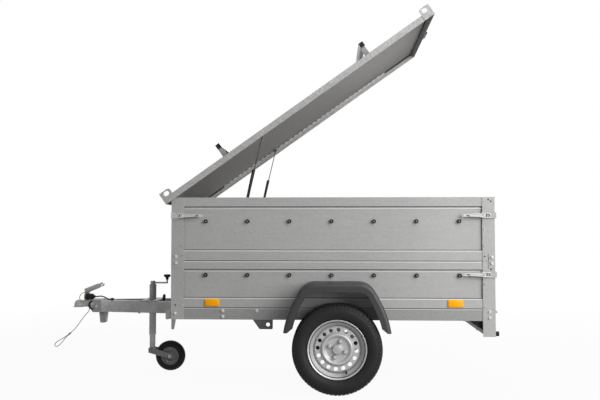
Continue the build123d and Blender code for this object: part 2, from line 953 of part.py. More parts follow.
def cord_button(x, z):
    """A moulded knob with a waist for the cover's cord."""
    profile = outline(
        (0, 0), (button_radius, 0), (button_neck_radius, -button_neck_start),
        (button_neck_radius, -button_neck_end), (button_radius, -button_neck_end - button_neck_start),
        (button_radius, -button_height), (0, -button_height),
    )
    return Pos(x, -field_face, z) * revolve(profile, Axis.Y)


def cord_buttons():
    pitch = (box_length - 2 * button_margin) / (button_count - 1)
    places = [
        (x_front + button_margin + index * pitch, level)
        for level in button_rows
        for index in range(button_count)
    ]
    return both_sides(*(cord_button(x, z) for x, z in places))


def side_reflectors():
    lens = RectangleRounded(reflector_length, reflector_height, reflector_corner)
    places = (x_front + reflector_front, x_rear - reflector_rear)
    return both_sides(
        *(
            side_plate(Pos(x, reflector_level) * lens, -board_face - reflector_depth, -board_face)
            for x in places
        )
    )


def jack_brackets():
    """Plates under the sills, each with a hole for a support leg."""
    start, end = x_front + jack_start, x_front + jack_end
    bottom = sill_bottom - jack_drop
    toe, heel = (start + jack_toe, bottom), (end, bottom)
    shape = rounded(outline((start, sill_bottom), (end, sill_bottom), heel, toe), jack_corner, toe, heel)
    plate = side_plate(shape, -board_face + sill_sheet, -board_face + sill_sheet + jack_sheet)
    hole_x, hole_z = end - jack_hole_from_end, sill_bottom - jack_hole_drop
    plate -= rod_y(hole_x, hole_z, jack_hole_radius, -board_face, -board_face + 4 * jack_sheet)
    return both_sides(plate)


def front_hooks():
    """A leaf in front of each front post and a tapered tab under each sill's front end."""
    y0, y1 = -board_face, -board_face + hook_sheet
    brow = (x_front - hook_reach, hook_leaf_top)
    leaf = outline(
        (x_front, hook_leaf_bottom + hook_sheet), (x_front, hook_leaf_top), brow,
        (x_front - hook_reach, hook_leaf_bottom + hook_sheet), (x_front - hook_toe, hook_leaf_bottom),
    )
    toes = [(board_start + hook_tab_end, hook_tab_bottom), (board_start, hook_tab_bottom)]
    tab = outline((board_start, sill_bottom), (board_start + hook_tab_length, sill_bottom), *toes)
    return both_sides(
        side_plate(rounded(leaf, hook_brow_corner, brow), y0, y1),
        side_plate(rounded(tab, hook_corner, *toes), y0, y1),
    )


def light_bar():
    web_x = x_rear - light_bar_web_setback
    lip_x = x_rear - light_bar_lip_setback
    sheet = light_bar_sheet
    bar = block(web_x - sheet, web_x, -board_face, board_face, rear_post_foot, sill_bottom)
    for level in (rear_post_foot, sill_bottom - sheet):
        bar += block(web_x, lip_x, -board_face, board_face, level, level + sheet)
    gusset = side_plate(
        outline(
            (web_x - sheet, sill_bottom), (web_x - sheet - gusset_length, sill_bottom),
            (web_x - sheet, sill_bottom - gusset_height),
        ),
        -board_face + gusset_inset - sheet, -board_face + gusset_inset,
    )
    tab = block(
        lip_x - buffer_tab_depth, lip_x, -board_face, -board_face + 2 * buffer_inset,
        rear_post_foot, rear_post_foot + 2 * buffer_radius,
    )
    for piece in both_sides(gusset, tab):
        bar += piece
    return bar


def rear_lights():
    web_x = x_rear - light_bar_web_setback
    middle = (rear_post_foot + sill_bottom) / 2
    lamp_start = -board_face + lamp_inset
    lamp_end = lamp_start + lamp_length
    lamp = along_x(
        Pos((lamp_start + lamp_end) / 2, middle) * RectangleRounded(lamp_length, lamp_height, lamp_corner),
        web_x, web_x + lamp_depth,
    )
    half = rear_reflector_side / 2
    rise = rear_reflector_side * math.sqrt(3) / 2
    centre = lamp_end + rear_reflector_gap + half
    triangle = along_x(
        outline(
            (centre - half, middle - rise / 2), (centre + half, middle - rise / 2), (centre, middle + rise / 2)
        ),
        web_x, web_x + rear_reflector_depth,
    )
    return both_sides(lamp, triangle)


def buffers():
    lip_x = x_rear - light_bar_lip_setback
    y = -board_face + buffer_inset
    z = rear_post_foot + buffer_rise + buffer_radius / 2
    return both_sides(rod_x(y, z, buffer_radius, lip_x, x_rear + buffer_depth))


# Fenders

def fender():
    """A moulded arch: crown sheet, outer skirt and inner flange, open underneath."""
    foot_dx = fender_half_foot - fender_shoulder[0]
    foot_dz = fender_shoulder[1] - fender_foot
    low = (fender_half_foot + foot_dx, fender_foot - foot_dz)
    left = [(-low[0], low[1]), (-fender_shoulder[0], fender_shoulder[1]), (-fender_crown[0], fender_crown[1])]
    right = [(-x, z) for x, z in reversed(left)]
    radii = [fender_shoulder_radius, fender_crown_radius, fender_crown_radius, fender_shoulder_radius]
    arch = FilletPolyline(*left, *right, radius=radii)
    face = closed(arch, Line(right[-1], left[0]))
    crown_y, skirt_y = -fender_outer, -fender_outer + fender_wall
    inner_y = -board_face

    def arch_solid(inset, y0, y1, edge_radius=0):
        profile = offset(face, amount=-inset, kind=Kind.INTERSECTION) if inset else face
        solid = side_plate(Pos(axle_x, 0) * profile, y0, y1)
        if edge_radius:
            outer_face = solid.faces().sort_by(Axis.Y)[0]
            solid = fillet(outer_face.edges().sort_by(Axis.Z)[1:], edge_radius)
        return solid

    shell = arch_solid(0, crown_y, inner_y, fender_edge_radius)
    shell -= arch_solid(fender_wall, skirt_y, inner_y - fender_wall, fender_edge_radius - fender_wall)
    shell -= arch_solid(fender_skirt, crown_y, skirt_y)
    shell -= arch_solid(fender_inner_flange, inner_y - fender_wall, inner_y)
    toe, heel = fender_half_foot - fender_toe[0], fender_half_foot - fender_skirt - fender_toe[0]
    rise = fender_foot + fender_toe[1]
    below = outline(
        (-low[0], 0), (-low[0], fender_foot), (-toe, fender_foot), (-heel, rise),
        (heel, rise), (toe, fender_foot), (low[0], fender_foot), (low[0], 0),
    )
    return shell - side_plate(Pos(axle_x, 0) * below, crown_y, inner_y)


# Axle and wheels

def axle_beam():
    x = axle_x - axle_beam_lead
    half = axle_beam_size / 2
    beam = block(x - half, x + half, -arm_inner, arm_inner, rail_bottom - axle_beam_size, rail_bottom)
    inner = half - axle_beam_wall
    middle = rail_bottom - half
    beam -= block(x - inner, x + inner, -arm_inner, arm_inner, middle - inner, middle + inner)
    for pad in both_sides(
        block(
            x - axle_pad_length / 2, x + axle_pad_length / 2,
            -arm_inner, -arm_inner + axle_pad_width, rail_bottom, sill_bottom,
        )
    ):
        beam += pad
    return beam


def axle_arms():
    """Trailing arms from the beam's ends to the stub axles."""
    x0, z0 = axle_x - axle_beam_lead, rail_bottom - axle_beam_size / 2
    reach = math.hypot(axle_x - x0, wheel_radius - z0)
    tilt = math.degrees(math.atan2(wheel_radius - z0, axle_x - x0))
    shape = SlotCenterToCenter(reach, 2 * arm_radius, rotation=tilt)
    arm = side_plate(
        Pos((x0 + axle_x) / 2, (z0 + wheel_radius) / 2) * shape, -arm_inner - arm_sheet, -arm_inner
    )
    arm += rod_y(axle_x, wheel_radius, stub_radius, -tyre_plane - stub_reach, -arm_inner - arm_sheet)
    return both_sides(arm)


def spun(section):
    """Revolves a section of (radius, place outwards) into a left-side wheel piece."""
    turned_section = mirror(section, about=Plane.XZ)
    return Pos(axle_x, -tyre_plane, wheel_radius) * revolve(turned_section, Axis.Y)


def tyre():
    half = tyre_width / 2
    bead = rim_half_width - tyre_gap * 2
    seat = rim_seat_radius + tyre_gap
    over_flange = rim_flange_radius + tyre_flange_cover
    belly = (seat + wheel_radius) / 2 + tyre_belly_rise
    shoulder, middle = (
        (wheel_radius - drop, out) for drop, out in (tyre_shoulder, tyre_shoulder_middle)
    )
    upper_side = [
        Line((seat, 0), (seat, bead)),
        Line((seat, bead), (over_flange, bead)),
        ThreePointArc((over_flange, bead), (belly, half), shoulder),
        ThreePointArc(shoulder, middle, (wheel_radius, tread_half)),
        Line((wheel_radius, tread_half), (wheel_radius, 0)),
        Line((wheel_radius, 0), (seat, 0)),
    ]
    half_section = closed(*upper_side)
    return spun(half_section + mirror(half_section, about=Plane.XZ))


def rim():
    """Well-base steel rim with a dished and vented disc."""
    flange, seat, sheet, half = rim_flange_radius, rim_seat_radius, rim_sheet, rim_half_width
    well = seat - rim_well_depth
    fold = sheet / 2
    outer_ramp = rim_well_outer + rim_well_slope_outer
    inner_ramp = rim_well_inner - rim_well_slope_inner
    barrel = outline(
        (flange, half), (seat, half), (seat, outer_ramp), (well, rim_well_outer), (well, rim_well_inner),
        (seat, inner_ramp), (seat, -half), (flange, -half), (flange, -half - sheet),
        (seat - sheet, -half - sheet), (seat - sheet, inner_ramp - fold), (well - sheet, rim_well_inner - fold),
        (well - sheet, rim_well_outer + fold), (seat - sheet, outer_ramp + sheet),
        (seat - sheet, half + sheet), (flange, half + sheet),
    )
    face = wheel_offset + sheet
    disc = outline(
        (disc_face[0][0], disc_depth), *disc_face, (disc_bore, face), (disc_bore, wheel_offset), *disc_back,
        (disc_back[-1][0], disc_depth),
    )
    wheel = spun(barrel) + spun(disc)
    for index in range(vent_count):
        angle = 2 * math.pi * index / vent_count + math.radians(vent_turn)
        x = axle_x + vent_circle * math.cos(angle)
        z = wheel_radius + vent_circle * math.sin(angle)
        wheel -= rod_y(x, z, vent_radius, -tyre_plane - rim_half_width, -tyre_plane - disc_bore / 2)
    return wheel


def hub():
    """Flanged hub on the stub axle, with a domed cap through the disc."""
    bore = stub_radius + stub_gap
    cap_end = wheel_offset + hub_cap_height
    flange_back = wheel_offset - hub_flange_depth
    inner_end = stub_reach + hub_end_gap
    section = outline(
        (bore, inner_end), (bore, -hub_inner_end),
        (hub_body_radius, -hub_inner_end), (hub_body_radius, flange_back),
        (hub_flange_radius, flange_back), (hub_flange_radius, wheel_offset),
        (hub_cap_radius, wheel_offset), (hub_cap_radius, cap_end - hub_cap_dome),
        (hub_cap_top, cap_end), (0, cap_end), (0, inner_end),
    )
    return spun(section)


# Lid

def lid_frame():
    """Skirt strips under the edges of the lid sheet."""
    end = lid_skirt_inner - floor_gap
    side = block(
        lid_front, lid_rear, -lid_skirt_outer, -lid_skirt_inner, lid_skirt_bottom, lid_under
    )
    front = block(
        lid_front, lid_front + lid_skirt_sheet, -end, end, lid_skirt_bottom, lid_under
    )
    rear = block(lid_rear - lid_skirt_sheet, lid_rear, -end, end, lid_skirt_bottom, lid_under)
    return both_sides(side) + [front, rear]


def lid_skin():
    return block(lid_front, lid_rear, -lid_skirt_outer, lid_skirt_outer, lid_under, lid_top)


def lid_ears():
    """Corner plates with an oval eye, standing above the lid."""
    top = lid_top + ear_rise
    ears = []
    for end, inward in ((lid_front, 1), (lid_rear, -1)):
        far = end + inward * ear_length
        shape = outline(
            (end, lid_skirt_bottom), (far, lid_skirt_bottom), (far, top), (end, top)
        )
        corner = shape.vertices().sort_by_distance((far, top, 0))[0]
        shape = fillet(corner, ear_corner)
        shape -= Pos(end + inward * ear_hole_from_end, top - ear_hole_drop) * SlotOverall(
            ear_hole_length, ear_hole_width
        )
        ears.append(side_plate(shape, -lid_skirt_outer - ear_sheet, -lid_skirt_outer))
    return both_sides(*ears)


def lid_crossbars():
    bars = []
    caps = []
    half = crossbar_size / 2
    for x in crossbar_places:
        z = lid_top + crossbar_rise
        inner = half - crossbar_wall
        bar = block(x - half, x + half, -crossbar_half, crossbar_half, z - half, z + half)
        bar -= block(x - inner, x + inner, -crossbar_half, crossbar_half, z - inner, z + inner)
        leg_y = -crossbar_half + crossbar_leg_inset
        leg = block(
            x - crossbar_leg_width / 2, x + crossbar_leg_width / 2,
            leg_y, leg_y + crossbar_leg_sheet, lid_top, z - half,
        )
        leg += block(
            x - crossbar_leg_width / 2, x + crossbar_leg_width / 2,
            leg_y, leg_y + crossbar_foot, lid_top, lid_top + crossbar_leg_sheet,
        )
        for piece in both_sides(leg):
            bar += piece
        bars.append(bar)
        caps += both_sides(
            block(x - half, x + half, -crossbar_half - crossbar_cap, -crossbar_half, z - half, z + half)
        )
    return bars, caps


def lid_hinge_bases():
    """Leaves on the front board, each with two knuckles and a pin."""
    x, z = lid_hinge
    bases = []
    for y in lid_hinge_places:
        y0, y1 = y - lid_base_half, y + lid_base_half
        inner = lid_knuckle_half + knuckle_gap
        base = block(x_front, board_start, y0, y1, z - lid_base_height, z + lid_knuckle_radius)
        base += rod_y(x, z, hinge_pin_radius, y0, y1)
        for a, b in ((y0, y - inner), (y + inner, y1)):
            base += rod_y(x, z, lid_knuckle_radius, a, b)
            base += block(x, x_front, a, b, z - leaf_sheet, z + leaf_sheet)
        bases.append(base)
    return bases


def lid_hinge_leaves():
    """Leaves behind the front skirt strip, each with the middle knuckle."""
    x, z = lid_hinge
    back = lid_front + lid_skirt_sheet
    leaves = []
    for y in lid_hinge_places:
        y0, y1 = y - lid_knuckle_half, y + lid_knuckle_half
        leaf = block(back, back + leaf_sheet, y0, y1, z - leaf_sheet, z - leaf_sheet + lid_leaf_height)
        leaf += block(back, x, y0, y1, z - leaf_sheet, z + leaf_sheet)
        leaf += rod_y(x, z, lid_knuckle_radius, y0, y1)
        leaf -= rod_y(x, z, hinge_pin_radius + hinge_bore_gap, y0, y1)
        leaves.append(leaf)
    return leaves


def lid_strut_studs():
    """Brackets under the lid sheet, each with a short stud for the strut's rod eye."""
    x, z = strut_head_closed
    eye_face = strut_plane + strut_eye_half + strut_side_gap
    plate_in = eye_face + strut_eye_half / 2
    plate_out = plate_in + strut_lid_bracket
    half = strut_lid_bracket_half
    plate = block(x - half, x + half, -plate_out, -plate_in, z - strut_eye_radius, lid_under)
    plate += rod_y(x, z, strut_pin_radius, -plate_in, -eye_face)
    return both_sides(plate)


def lid_lock():
    level = lid_skirt_bottom + lid_sheet + lock_height / 2
    return along_x(
        Pos(0, level) * RectangleRounded(lock_length, lock_height, lock_corner), lid_rear, lid_rear + lock_depth
    )


# Gas struts

def strut_brackets():
    """Plates inside the upper side boards with the lower strut pins."""
    x, z = strut_foot
    plate_in = field_back - strut_bracket_sheet
    plate = block(
        x - strut_bracket_length / 2, x + strut_bracket_length / 2, -field_back, -plate_in,
        z - strut_bracket_below, z + strut_bracket_above,
    )
    plate += rod_y(x, z, strut_pin_radius, -plate_in, -strut_plane + strut_eye_half + strut_pin_radius)
    return both_sides(plate)


def struts():
    """Gas struts between their lower pins and the open lid: cylinder and rod of the left one."""
    head = turned(strut_head_closed, lid_open_angle)
    dx, dz = head[0] - strut_foot[0], head[1] - strut_foot[1]
    length = math.hypot(dx, dz)
    tilt = math.degrees(math.atan2(dx, dz))
    place = Pos(strut_foot[0], -strut_plane, strut_foot[1]) * Rot(0, tilt, 0)
    pin_hole = strut_pin_radius + strut_pin_gap
    eye = rod_y(0, 0, strut_eye_radius, -strut_eye_half, strut_eye_half)
    hole = rod_y(0, 0, pin_hole, -strut_eye_half, strut_eye_half)

    tube = eye + rod_z(0, 0, strut_tube_radius, strut_tube_start, strut_tube_end)
    tube -= hole
    tube -= rod_z(0, 0, strut_rod_radius + strut_rod_gap, strut_bore_start, strut_tube_end)
    rod = Pos(0, 0, length) * eye + rod_z(0, 0, strut_rod_radius, strut_rod_start, length)
    rod -= Pos(0, 0, length) * hole
    return place * tube, place * rod


# Cords: points are (distance behind the coupling's tip, y, z)

cable_route = (
    (104, -14.5, 548), (86, -31, 550), (68, -47, 540), (60, -61, 518), (70, -69, 495),
    (93, -70, 479), (117, -68, 465), (134, -65, 444), (132, -64, 423), (117, -63, 405),
    (97, -62, 384), (78, -61, 359), (60, -60, 333), (41, -59, 308), (20, -58, 285),
    (-8, -58, 262), (-36, -58.5, 240), (-60, -60, 226), (-84, -63, 213), (-104, -66, 198),
    (-111, -68, 180), (-96, -69, 170), (-77, -69, 181), (-60, -67.5, 200), (-44, -66, 221),
    (-25, -64.6, 243), (-5, -64.2, 260),
)
lead_route = (
    (284, -50, 503), (266, -50, 503), (246, -48, 513), (224, -45, 522), (200, -42, 524),
    (180, -40, 520.3), (166, -40, 520.3),
)


def cord(route, diameter):
    """A round cord along straight runs joined by the largest arcs that the runs allow."""
    points = [Vector(x_tip + behind, y, z) for behind, y, z in route]
    radii = []
    for before, here, after in zip(points, points[1:], points[2:]):
        turn = math.radians((here - before).get_angle(after - here))
        shorter = min((here - before).length, (after - here).length)
        radii.append(cord_bend_share * shorter / math.tan(turn / 2))
    path = FilletPolyline(*points, radius=radii)
    start = Plane(origin=points[0], z_dir=points[1] - points[0])
    tube = sweep(start * Circle(diameter / 2), path=path)
    area = math.pi * diameter ** 2 / 4
    print("cord length", round(path.length, 1), "volume ratio", round(tube.volume / area / path.length, 4))
    print("least radius", round(min(radii), 1), "radii", [round(radius) for radius in radii])
    return tube


def lead_fittings():
    """The plug at the lead's front end, the clip that the lead comes out of and the cable's hook."""
    behind, y, z = lead_route[-1]
    back = x_tip + behind
    shoulder = back - plug_neck_length
    front = shoulder - plug_length
    plug = rod_x(y, z, plug_neck_radius, shoulder, back)
    plug += rod_x(y, z, plug_radius, front, shoulder)
    plug += rod_x(y, z, plug_cap_radius, front - plug_cap_length, front)
    behind, y, z = lead_route[0]
    clip_x = x_tip + behind
    clip = block(
        clip_x, clip_x + gland_length, y - gland_half, y + gland_half, floor_bottom, z + gland_half
    )
    nose_half = rail_half_width(drawbar_reach - hook_ring[-1][0]) + nose_gap + nose_sheet
    hook_y = -nose_half - hook_ring_radius - hook_ring_gap
    ends = [Vector(x_tip + behind, hook_y, z) for behind, z in hook_ring]
    bend = ThreePointArc(*ends)
    hook = sweep(Plane(origin=ends[0], z_dir=bend % 0) * Circle(hook_ring_radius), path=bend)
    return plug, clip, hook


def main():
    os.makedirs("parts", exist_ok=True)
    sills, members, floor = chassis()
    save("sills", *sills)
    save("cross_members", *members)
    save("floor_panel", floor)
    save("drawbar_rails", *both_sides(rail()))
    save("nose_bracket", nose_bracket())
    save("coupling_head", coupling_head())
    save("coupling_handle", coupling_handle())
    save("plug_dock", plug_dock())

    tube, clamp, crank, knob, lever = jockey_stand()
    save("jockey_outer_tube", tube)
    save("jockey_clamp", clamp)
    save("jockey_crank", crank)
    save("jockey_grips", knob, lever)
    save("jockey_inner_tube", jockey_leg())
    save("jockey_fork", jockey_fork())
    small_tyre, small_rim = jockey_wheel()
    save("jockey_tyre", small_tyre)
    save("jockey_rim", small_rim)

    front_posts, rear_posts = posts()
    save("front_posts", *front_posts)
    save("rear_posts", *rear_posts)
    save("joint_plates", *joint_plates())
    save("lower_side_boards", *both_sides(side_board(*lower_level)))
    save("upper_side_boards", *both_sides(side_board(*upper_level)))
    save("lower_front_board", front_board(*lower_level))
    save("upper_front_board", front_board(*upper_level))
    save("lower_tailgate", lower_tailgate())
    save("upper_tailgate", upper_tailgate())
    save("latches", *latches())
    save("cord_buttons", *cord_buttons())
    save("side_reflectors", *side_reflectors())
    save("jack_brackets", *jack_brackets())
    save("front_hooks", *front_hooks())
    save("light_bar", light_bar())
    save("rear_lights", *rear_lights())
    save("buffers", *buffers())
    for side, piece in zip(("left", "right"), both_sides(fender())):
        save(f"fender_{side}", piece)

    save("axle_beam", axle_beam())
    save("axle_arms", *axle_arms())
    for name, maker in (("tyre", tyre), ("rim", rim), ("hub", hub)):
        for side, piece in zip(("left", "right"), both_sides(maker())):
            save(f"{name}_{side}", piece)

    save("lid_skin", open_lid(lid_skin()))
    save("lid_frame", *(open_lid(strip) for strip in lid_frame()))
    save("lid_ears", *(open_lid(ear) for ear in lid_ears()))
    bars, caps = lid_crossbars()
    save("lid_crossbars", *(open_lid(bar) for bar in bars))
    save("crossbar_caps", *(open_lid(cap) for cap in caps))
    save("lid_fittings", *(open_lid(piece) for piece in lid_hinge_leaves() + lid_strut_studs()))
    save("lid_lock", open_lid(lid_lock()))
    save("lid_hinge_bases", *lid_hinge_bases())
    save("strut_brackets", *strut_brackets())
    tube, rod = struts()
    for side, piece in zip(("left", "right"), both_sides(tube)):
        save(f"strut_tube_{side}", piece)
    for side, piece in zip(("left", "right"), both_sides(rod)):
        save(f"strut_rod_{side}", piece)

    save("safety_cable", cord(cable_route, cable_diameter))
    save("power_lead", cord(lead_route, lead_diameter))
    save("lead_fittings", *lead_fittings())


main()
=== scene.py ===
import json
import math
import bmesh
import bpy
from mathutils import Matrix, Vector


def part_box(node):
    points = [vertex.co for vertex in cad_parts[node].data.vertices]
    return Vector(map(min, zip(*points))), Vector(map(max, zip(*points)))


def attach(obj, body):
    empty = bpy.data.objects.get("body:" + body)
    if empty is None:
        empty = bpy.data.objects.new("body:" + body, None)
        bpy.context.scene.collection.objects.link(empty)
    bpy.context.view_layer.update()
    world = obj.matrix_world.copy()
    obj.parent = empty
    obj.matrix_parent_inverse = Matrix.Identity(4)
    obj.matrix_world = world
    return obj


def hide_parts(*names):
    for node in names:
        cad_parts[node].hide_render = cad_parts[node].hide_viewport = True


# The looks of a box trailer with its lid open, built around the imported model.
# Metres, +X to the rear, -Y to the left side, which the camera sees, and +Z up.

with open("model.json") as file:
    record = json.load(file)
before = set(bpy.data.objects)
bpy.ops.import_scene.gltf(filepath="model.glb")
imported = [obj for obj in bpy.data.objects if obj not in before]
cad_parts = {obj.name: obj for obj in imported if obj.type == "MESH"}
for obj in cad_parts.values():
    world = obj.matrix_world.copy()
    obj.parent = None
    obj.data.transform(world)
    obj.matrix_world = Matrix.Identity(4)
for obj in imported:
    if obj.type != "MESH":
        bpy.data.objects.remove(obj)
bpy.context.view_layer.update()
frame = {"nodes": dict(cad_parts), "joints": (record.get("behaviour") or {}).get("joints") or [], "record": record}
nodes = frame["nodes"]
joints = {joint["name"]: joint for joint in frame["joints"]}

SIDES = {-1: "left", 1: "right"}
moved = Matrix.Translation


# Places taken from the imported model

def low(node):
    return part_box(node)[0]


def high(node):
    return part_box(node)[1]


X_FRONT = low("front_posts").x
X_REAR = high("rear_posts").x
X_TIP = low("coupling_head").x
POST_FACE = high("front_posts").y
BOARD_FACE = high("upper_side_boards").y
SILL_BOTTOM = low("sills").z
WHEEL_CENTRE = Vector(joints["wheel_left_spin"]["pos_m"])
WHEEL_RADIUS = WHEEL_CENTRE.z
LID_PIVOT = Vector(joints["lid_hinge"]["pos_m"])
LID_ANGLE = math.radians(-joints["lid_hinge"]["range_deg"][0])
LID_OPEN = moved(LID_PIVOT) @ Matrix.Rotation(LID_ANGLE, 4, (0, -1, 0)) @ moved(-LID_PIVOT)
LID_SHUT = LID_OPEN.inverted()


def shut_box(node):
    """A lid node's lowest and highest corners when the lid is closed."""
    points = [LID_SHUT @ vertex.co for vertex in nodes[node].data.vertices]
    return [Vector(pick(p[axis] for p in points) for axis in range(3)) for pick in (min, max)]


# Mesh templates: lists of vertices and faces about a local origin, facing +Z

def even_turns(count, start=0.0):
    """Angles spaced evenly round a circle."""
    return [start + 2 * math.pi * index / count for index in range(count)]


def lathe(profile, segments):
    """Turns (radius, height) points about +Z. A radius of 0 closes an end."""
    verts, rings, faces = [], [], []
    turns = even_turns(segments)
    for radius, height in profile:
        start = len(verts)
        ring_turns = turns if radius else [0]
        verts += [(radius * math.cos(t), radius * math.sin(t), height) for t in ring_turns]
        rings.append(range(start, len(verts)))
    for lower, upper in zip(rings, rings[1:]):
        for index in range(segments):
            after = (index + 1) % segments
            corners = (
                lower[index % len(lower)], lower[after % len(lower)],
                upper[after % len(upper)], upper[index % len(upper)],
            )
            faces.append(list(dict.fromkeys(corners)))
    return verts, faces


def slab(size, bevel, segments=2):
    """A box of (x, y, z) size with rounded edges, centred on the origin."""
    bm = bmesh.new()
    bmesh.ops.create_cube(bm, size=1)
    bmesh.ops.scale(bm, vec=size, verts=bm.verts)
    bmesh.ops.bevel(bm, geom=list(bm.edges), offset=bevel, segments=segments, affect="EDGES", profile=0.5)
    bm.verts.index_update()
    template = [vertex.co.copy() for vertex in bm.verts], [[v.index for v in face.verts] for face in bm.faces]
    bm.free()
    return template


def cut_plate(outline, holes, thickness, bevel):
    """A plate in local X and Y with rounded edges, from an outline and holes given as closed point lists."""
    data = bpy.data.curves.new("plate", "CURVE")
    data.dimensions = "2D"
    data.fill_mode = "BOTH"
    data.extrude = thickness / 2 - bevel
    data.bevel_depth = bevel
    data.bevel_resolution = 1
    data.offset = -bevel
    for points in (outline, *holes):
        spline = data.splines.new("POLY")
        spline.points.add(len(points) - 1)
        for point, (x, y) in zip(spline.points, points):
            point.co = (x, y, 0, 1)
        spline.use_cyclic_u = True
    source = bpy.data.objects.new("plate", data)
    mesh = bpy.data.meshes.new_from_object(source)
    template = [vertex.co.copy() for vertex in mesh.vertices], [list(face.vertices) for face in mesh.polygons]
    bpy.data.objects.remove(source)
    bpy.data.curves.remove(data)
    bpy.data.meshes.remove(mesh)
    return template


def arc(centre, radius, start, end, count):
    """Points of an arc, angles in radians."""
    turns = [start + (end - start) * index / count for index in range(count + 1)]
    return [(centre[0] + radius * math.cos(t), centre[1] + radius * math.sin(t)) for t in turns]


def circle(centre, radius, count=20):
    return arc(centre, radius, 0, 2 * math.pi, count)[:-1]


def ring_faces(rings, sides, closed=False):
    """Faces between rings of vertices that follow one another."""
    faces = []
    for ring in range(rings if closed else rings - 1):
        a, b = ring * sides, (ring + 1) % rings * sides
        for side in range(sides):
            after = (side + 1) % sides
            faces.append([a + side, a + after, b + after, b + side])
    return faces


def sweep(points, sides, radius_at):
    """A tube along points, closed at both ends; radius_at takes an angle and the distance travelled."""
    points = [Vector(p) for p in points]
    verts = []
    across = Vector((0, 1, 0))
    travelled = 0.0
    for index, point in enumerate(points):
        before = points[max(index - 1, 0)]
        after = points[min(index + 1, len(points) - 1)]
        travelled += (point - before).length
        along = (after - before).normalized()
        across = (across - along * across.dot(along)).normalized()
        upward = along.cross(across)
        for turn in even_turns(sides):
            outward = math.cos(turn) * across + math.sin(turn) * upward
            verts.append(point + radius_at(turn, travelled) * outward)
    faces = ring_faces(len(points), sides)
    faces.append(list(range(sides))[::-1])
    faces.append([(len(points) - 1) * sides + side for side in range(sides)])
    return verts, faces


def bar(start, stop, radius):
    """A straight round bar between two points."""
    return sweep([start, start.lerp(stop, 0.5), stop], WIRE_SIDES, lambda turn, travelled: radius)


def facing(place, normal, roll=0.0):
    """Puts a template at a place with its +Z along a normal, turned by roll radians about it."""
    turn = Vector(normal).to_track_quat("Z", "Y").to_matrix().to_4x4()
    return moved(place) @ turn @ Matrix.Rotation(roll, 4, "Z")


def outward_axes(side):
    """Local Z points outwards from that side and local X to the rear."""
    return Matrix(((1, 0, 0, 0), (0, 0, side, 0), (0, 1, 0, 0), (0, 0, 0, 1)))


SHARP_ANGLE = math.radians(38)
WIRE_SIDES = 10
HEXAGON = 6


def linked(name, data):
    """A new object in the scene."""
    obj = bpy.data.objects.new(name, data)
    bpy.context.scene.collection.objects.link(obj)
    return obj


class Shape:
    """Faces gathered for one piece."""

    def __init__(self):
        self.verts = []
        self.faces = []

    def add(self, template, matrix=Matrix()):
        start = len(self.verts)
        flipped = matrix.determinant() < 0
        self.verts += [matrix @ Vector(vertex) for vertex in template[0]]
        for face in template[1]:
            corners = [start + index for index in face]
            self.faces.append(corners[::-1] if flipped else corners)
        return self

    def piece(self, name, finish, body="trailer", slot=None, replaces=()):
        """Makes the piece; the slot argument is not used."""
        mesh = bpy.data.meshes.new(name)
        mesh.from_pydata(self.verts, [], self.faces)
        mesh.polygons.foreach_set("use_smooth", [True] * len(mesh.polygons))
        mesh.set_sharp_from_angle(angle=SHARP_ANGLE)
        mesh.materials.append(MATERIALS[finish])
        return place_piece(linked(name, mesh), body, replaces)


def place_piece(obj, body, replaces=()):
    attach(obj, body)
    if replaces:
        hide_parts(*replaces)
    return obj


# Materials

# The stretch of a noise's values that a finish spreads over its own range
NOISE_MIDDLE = (0.3, 0.7)


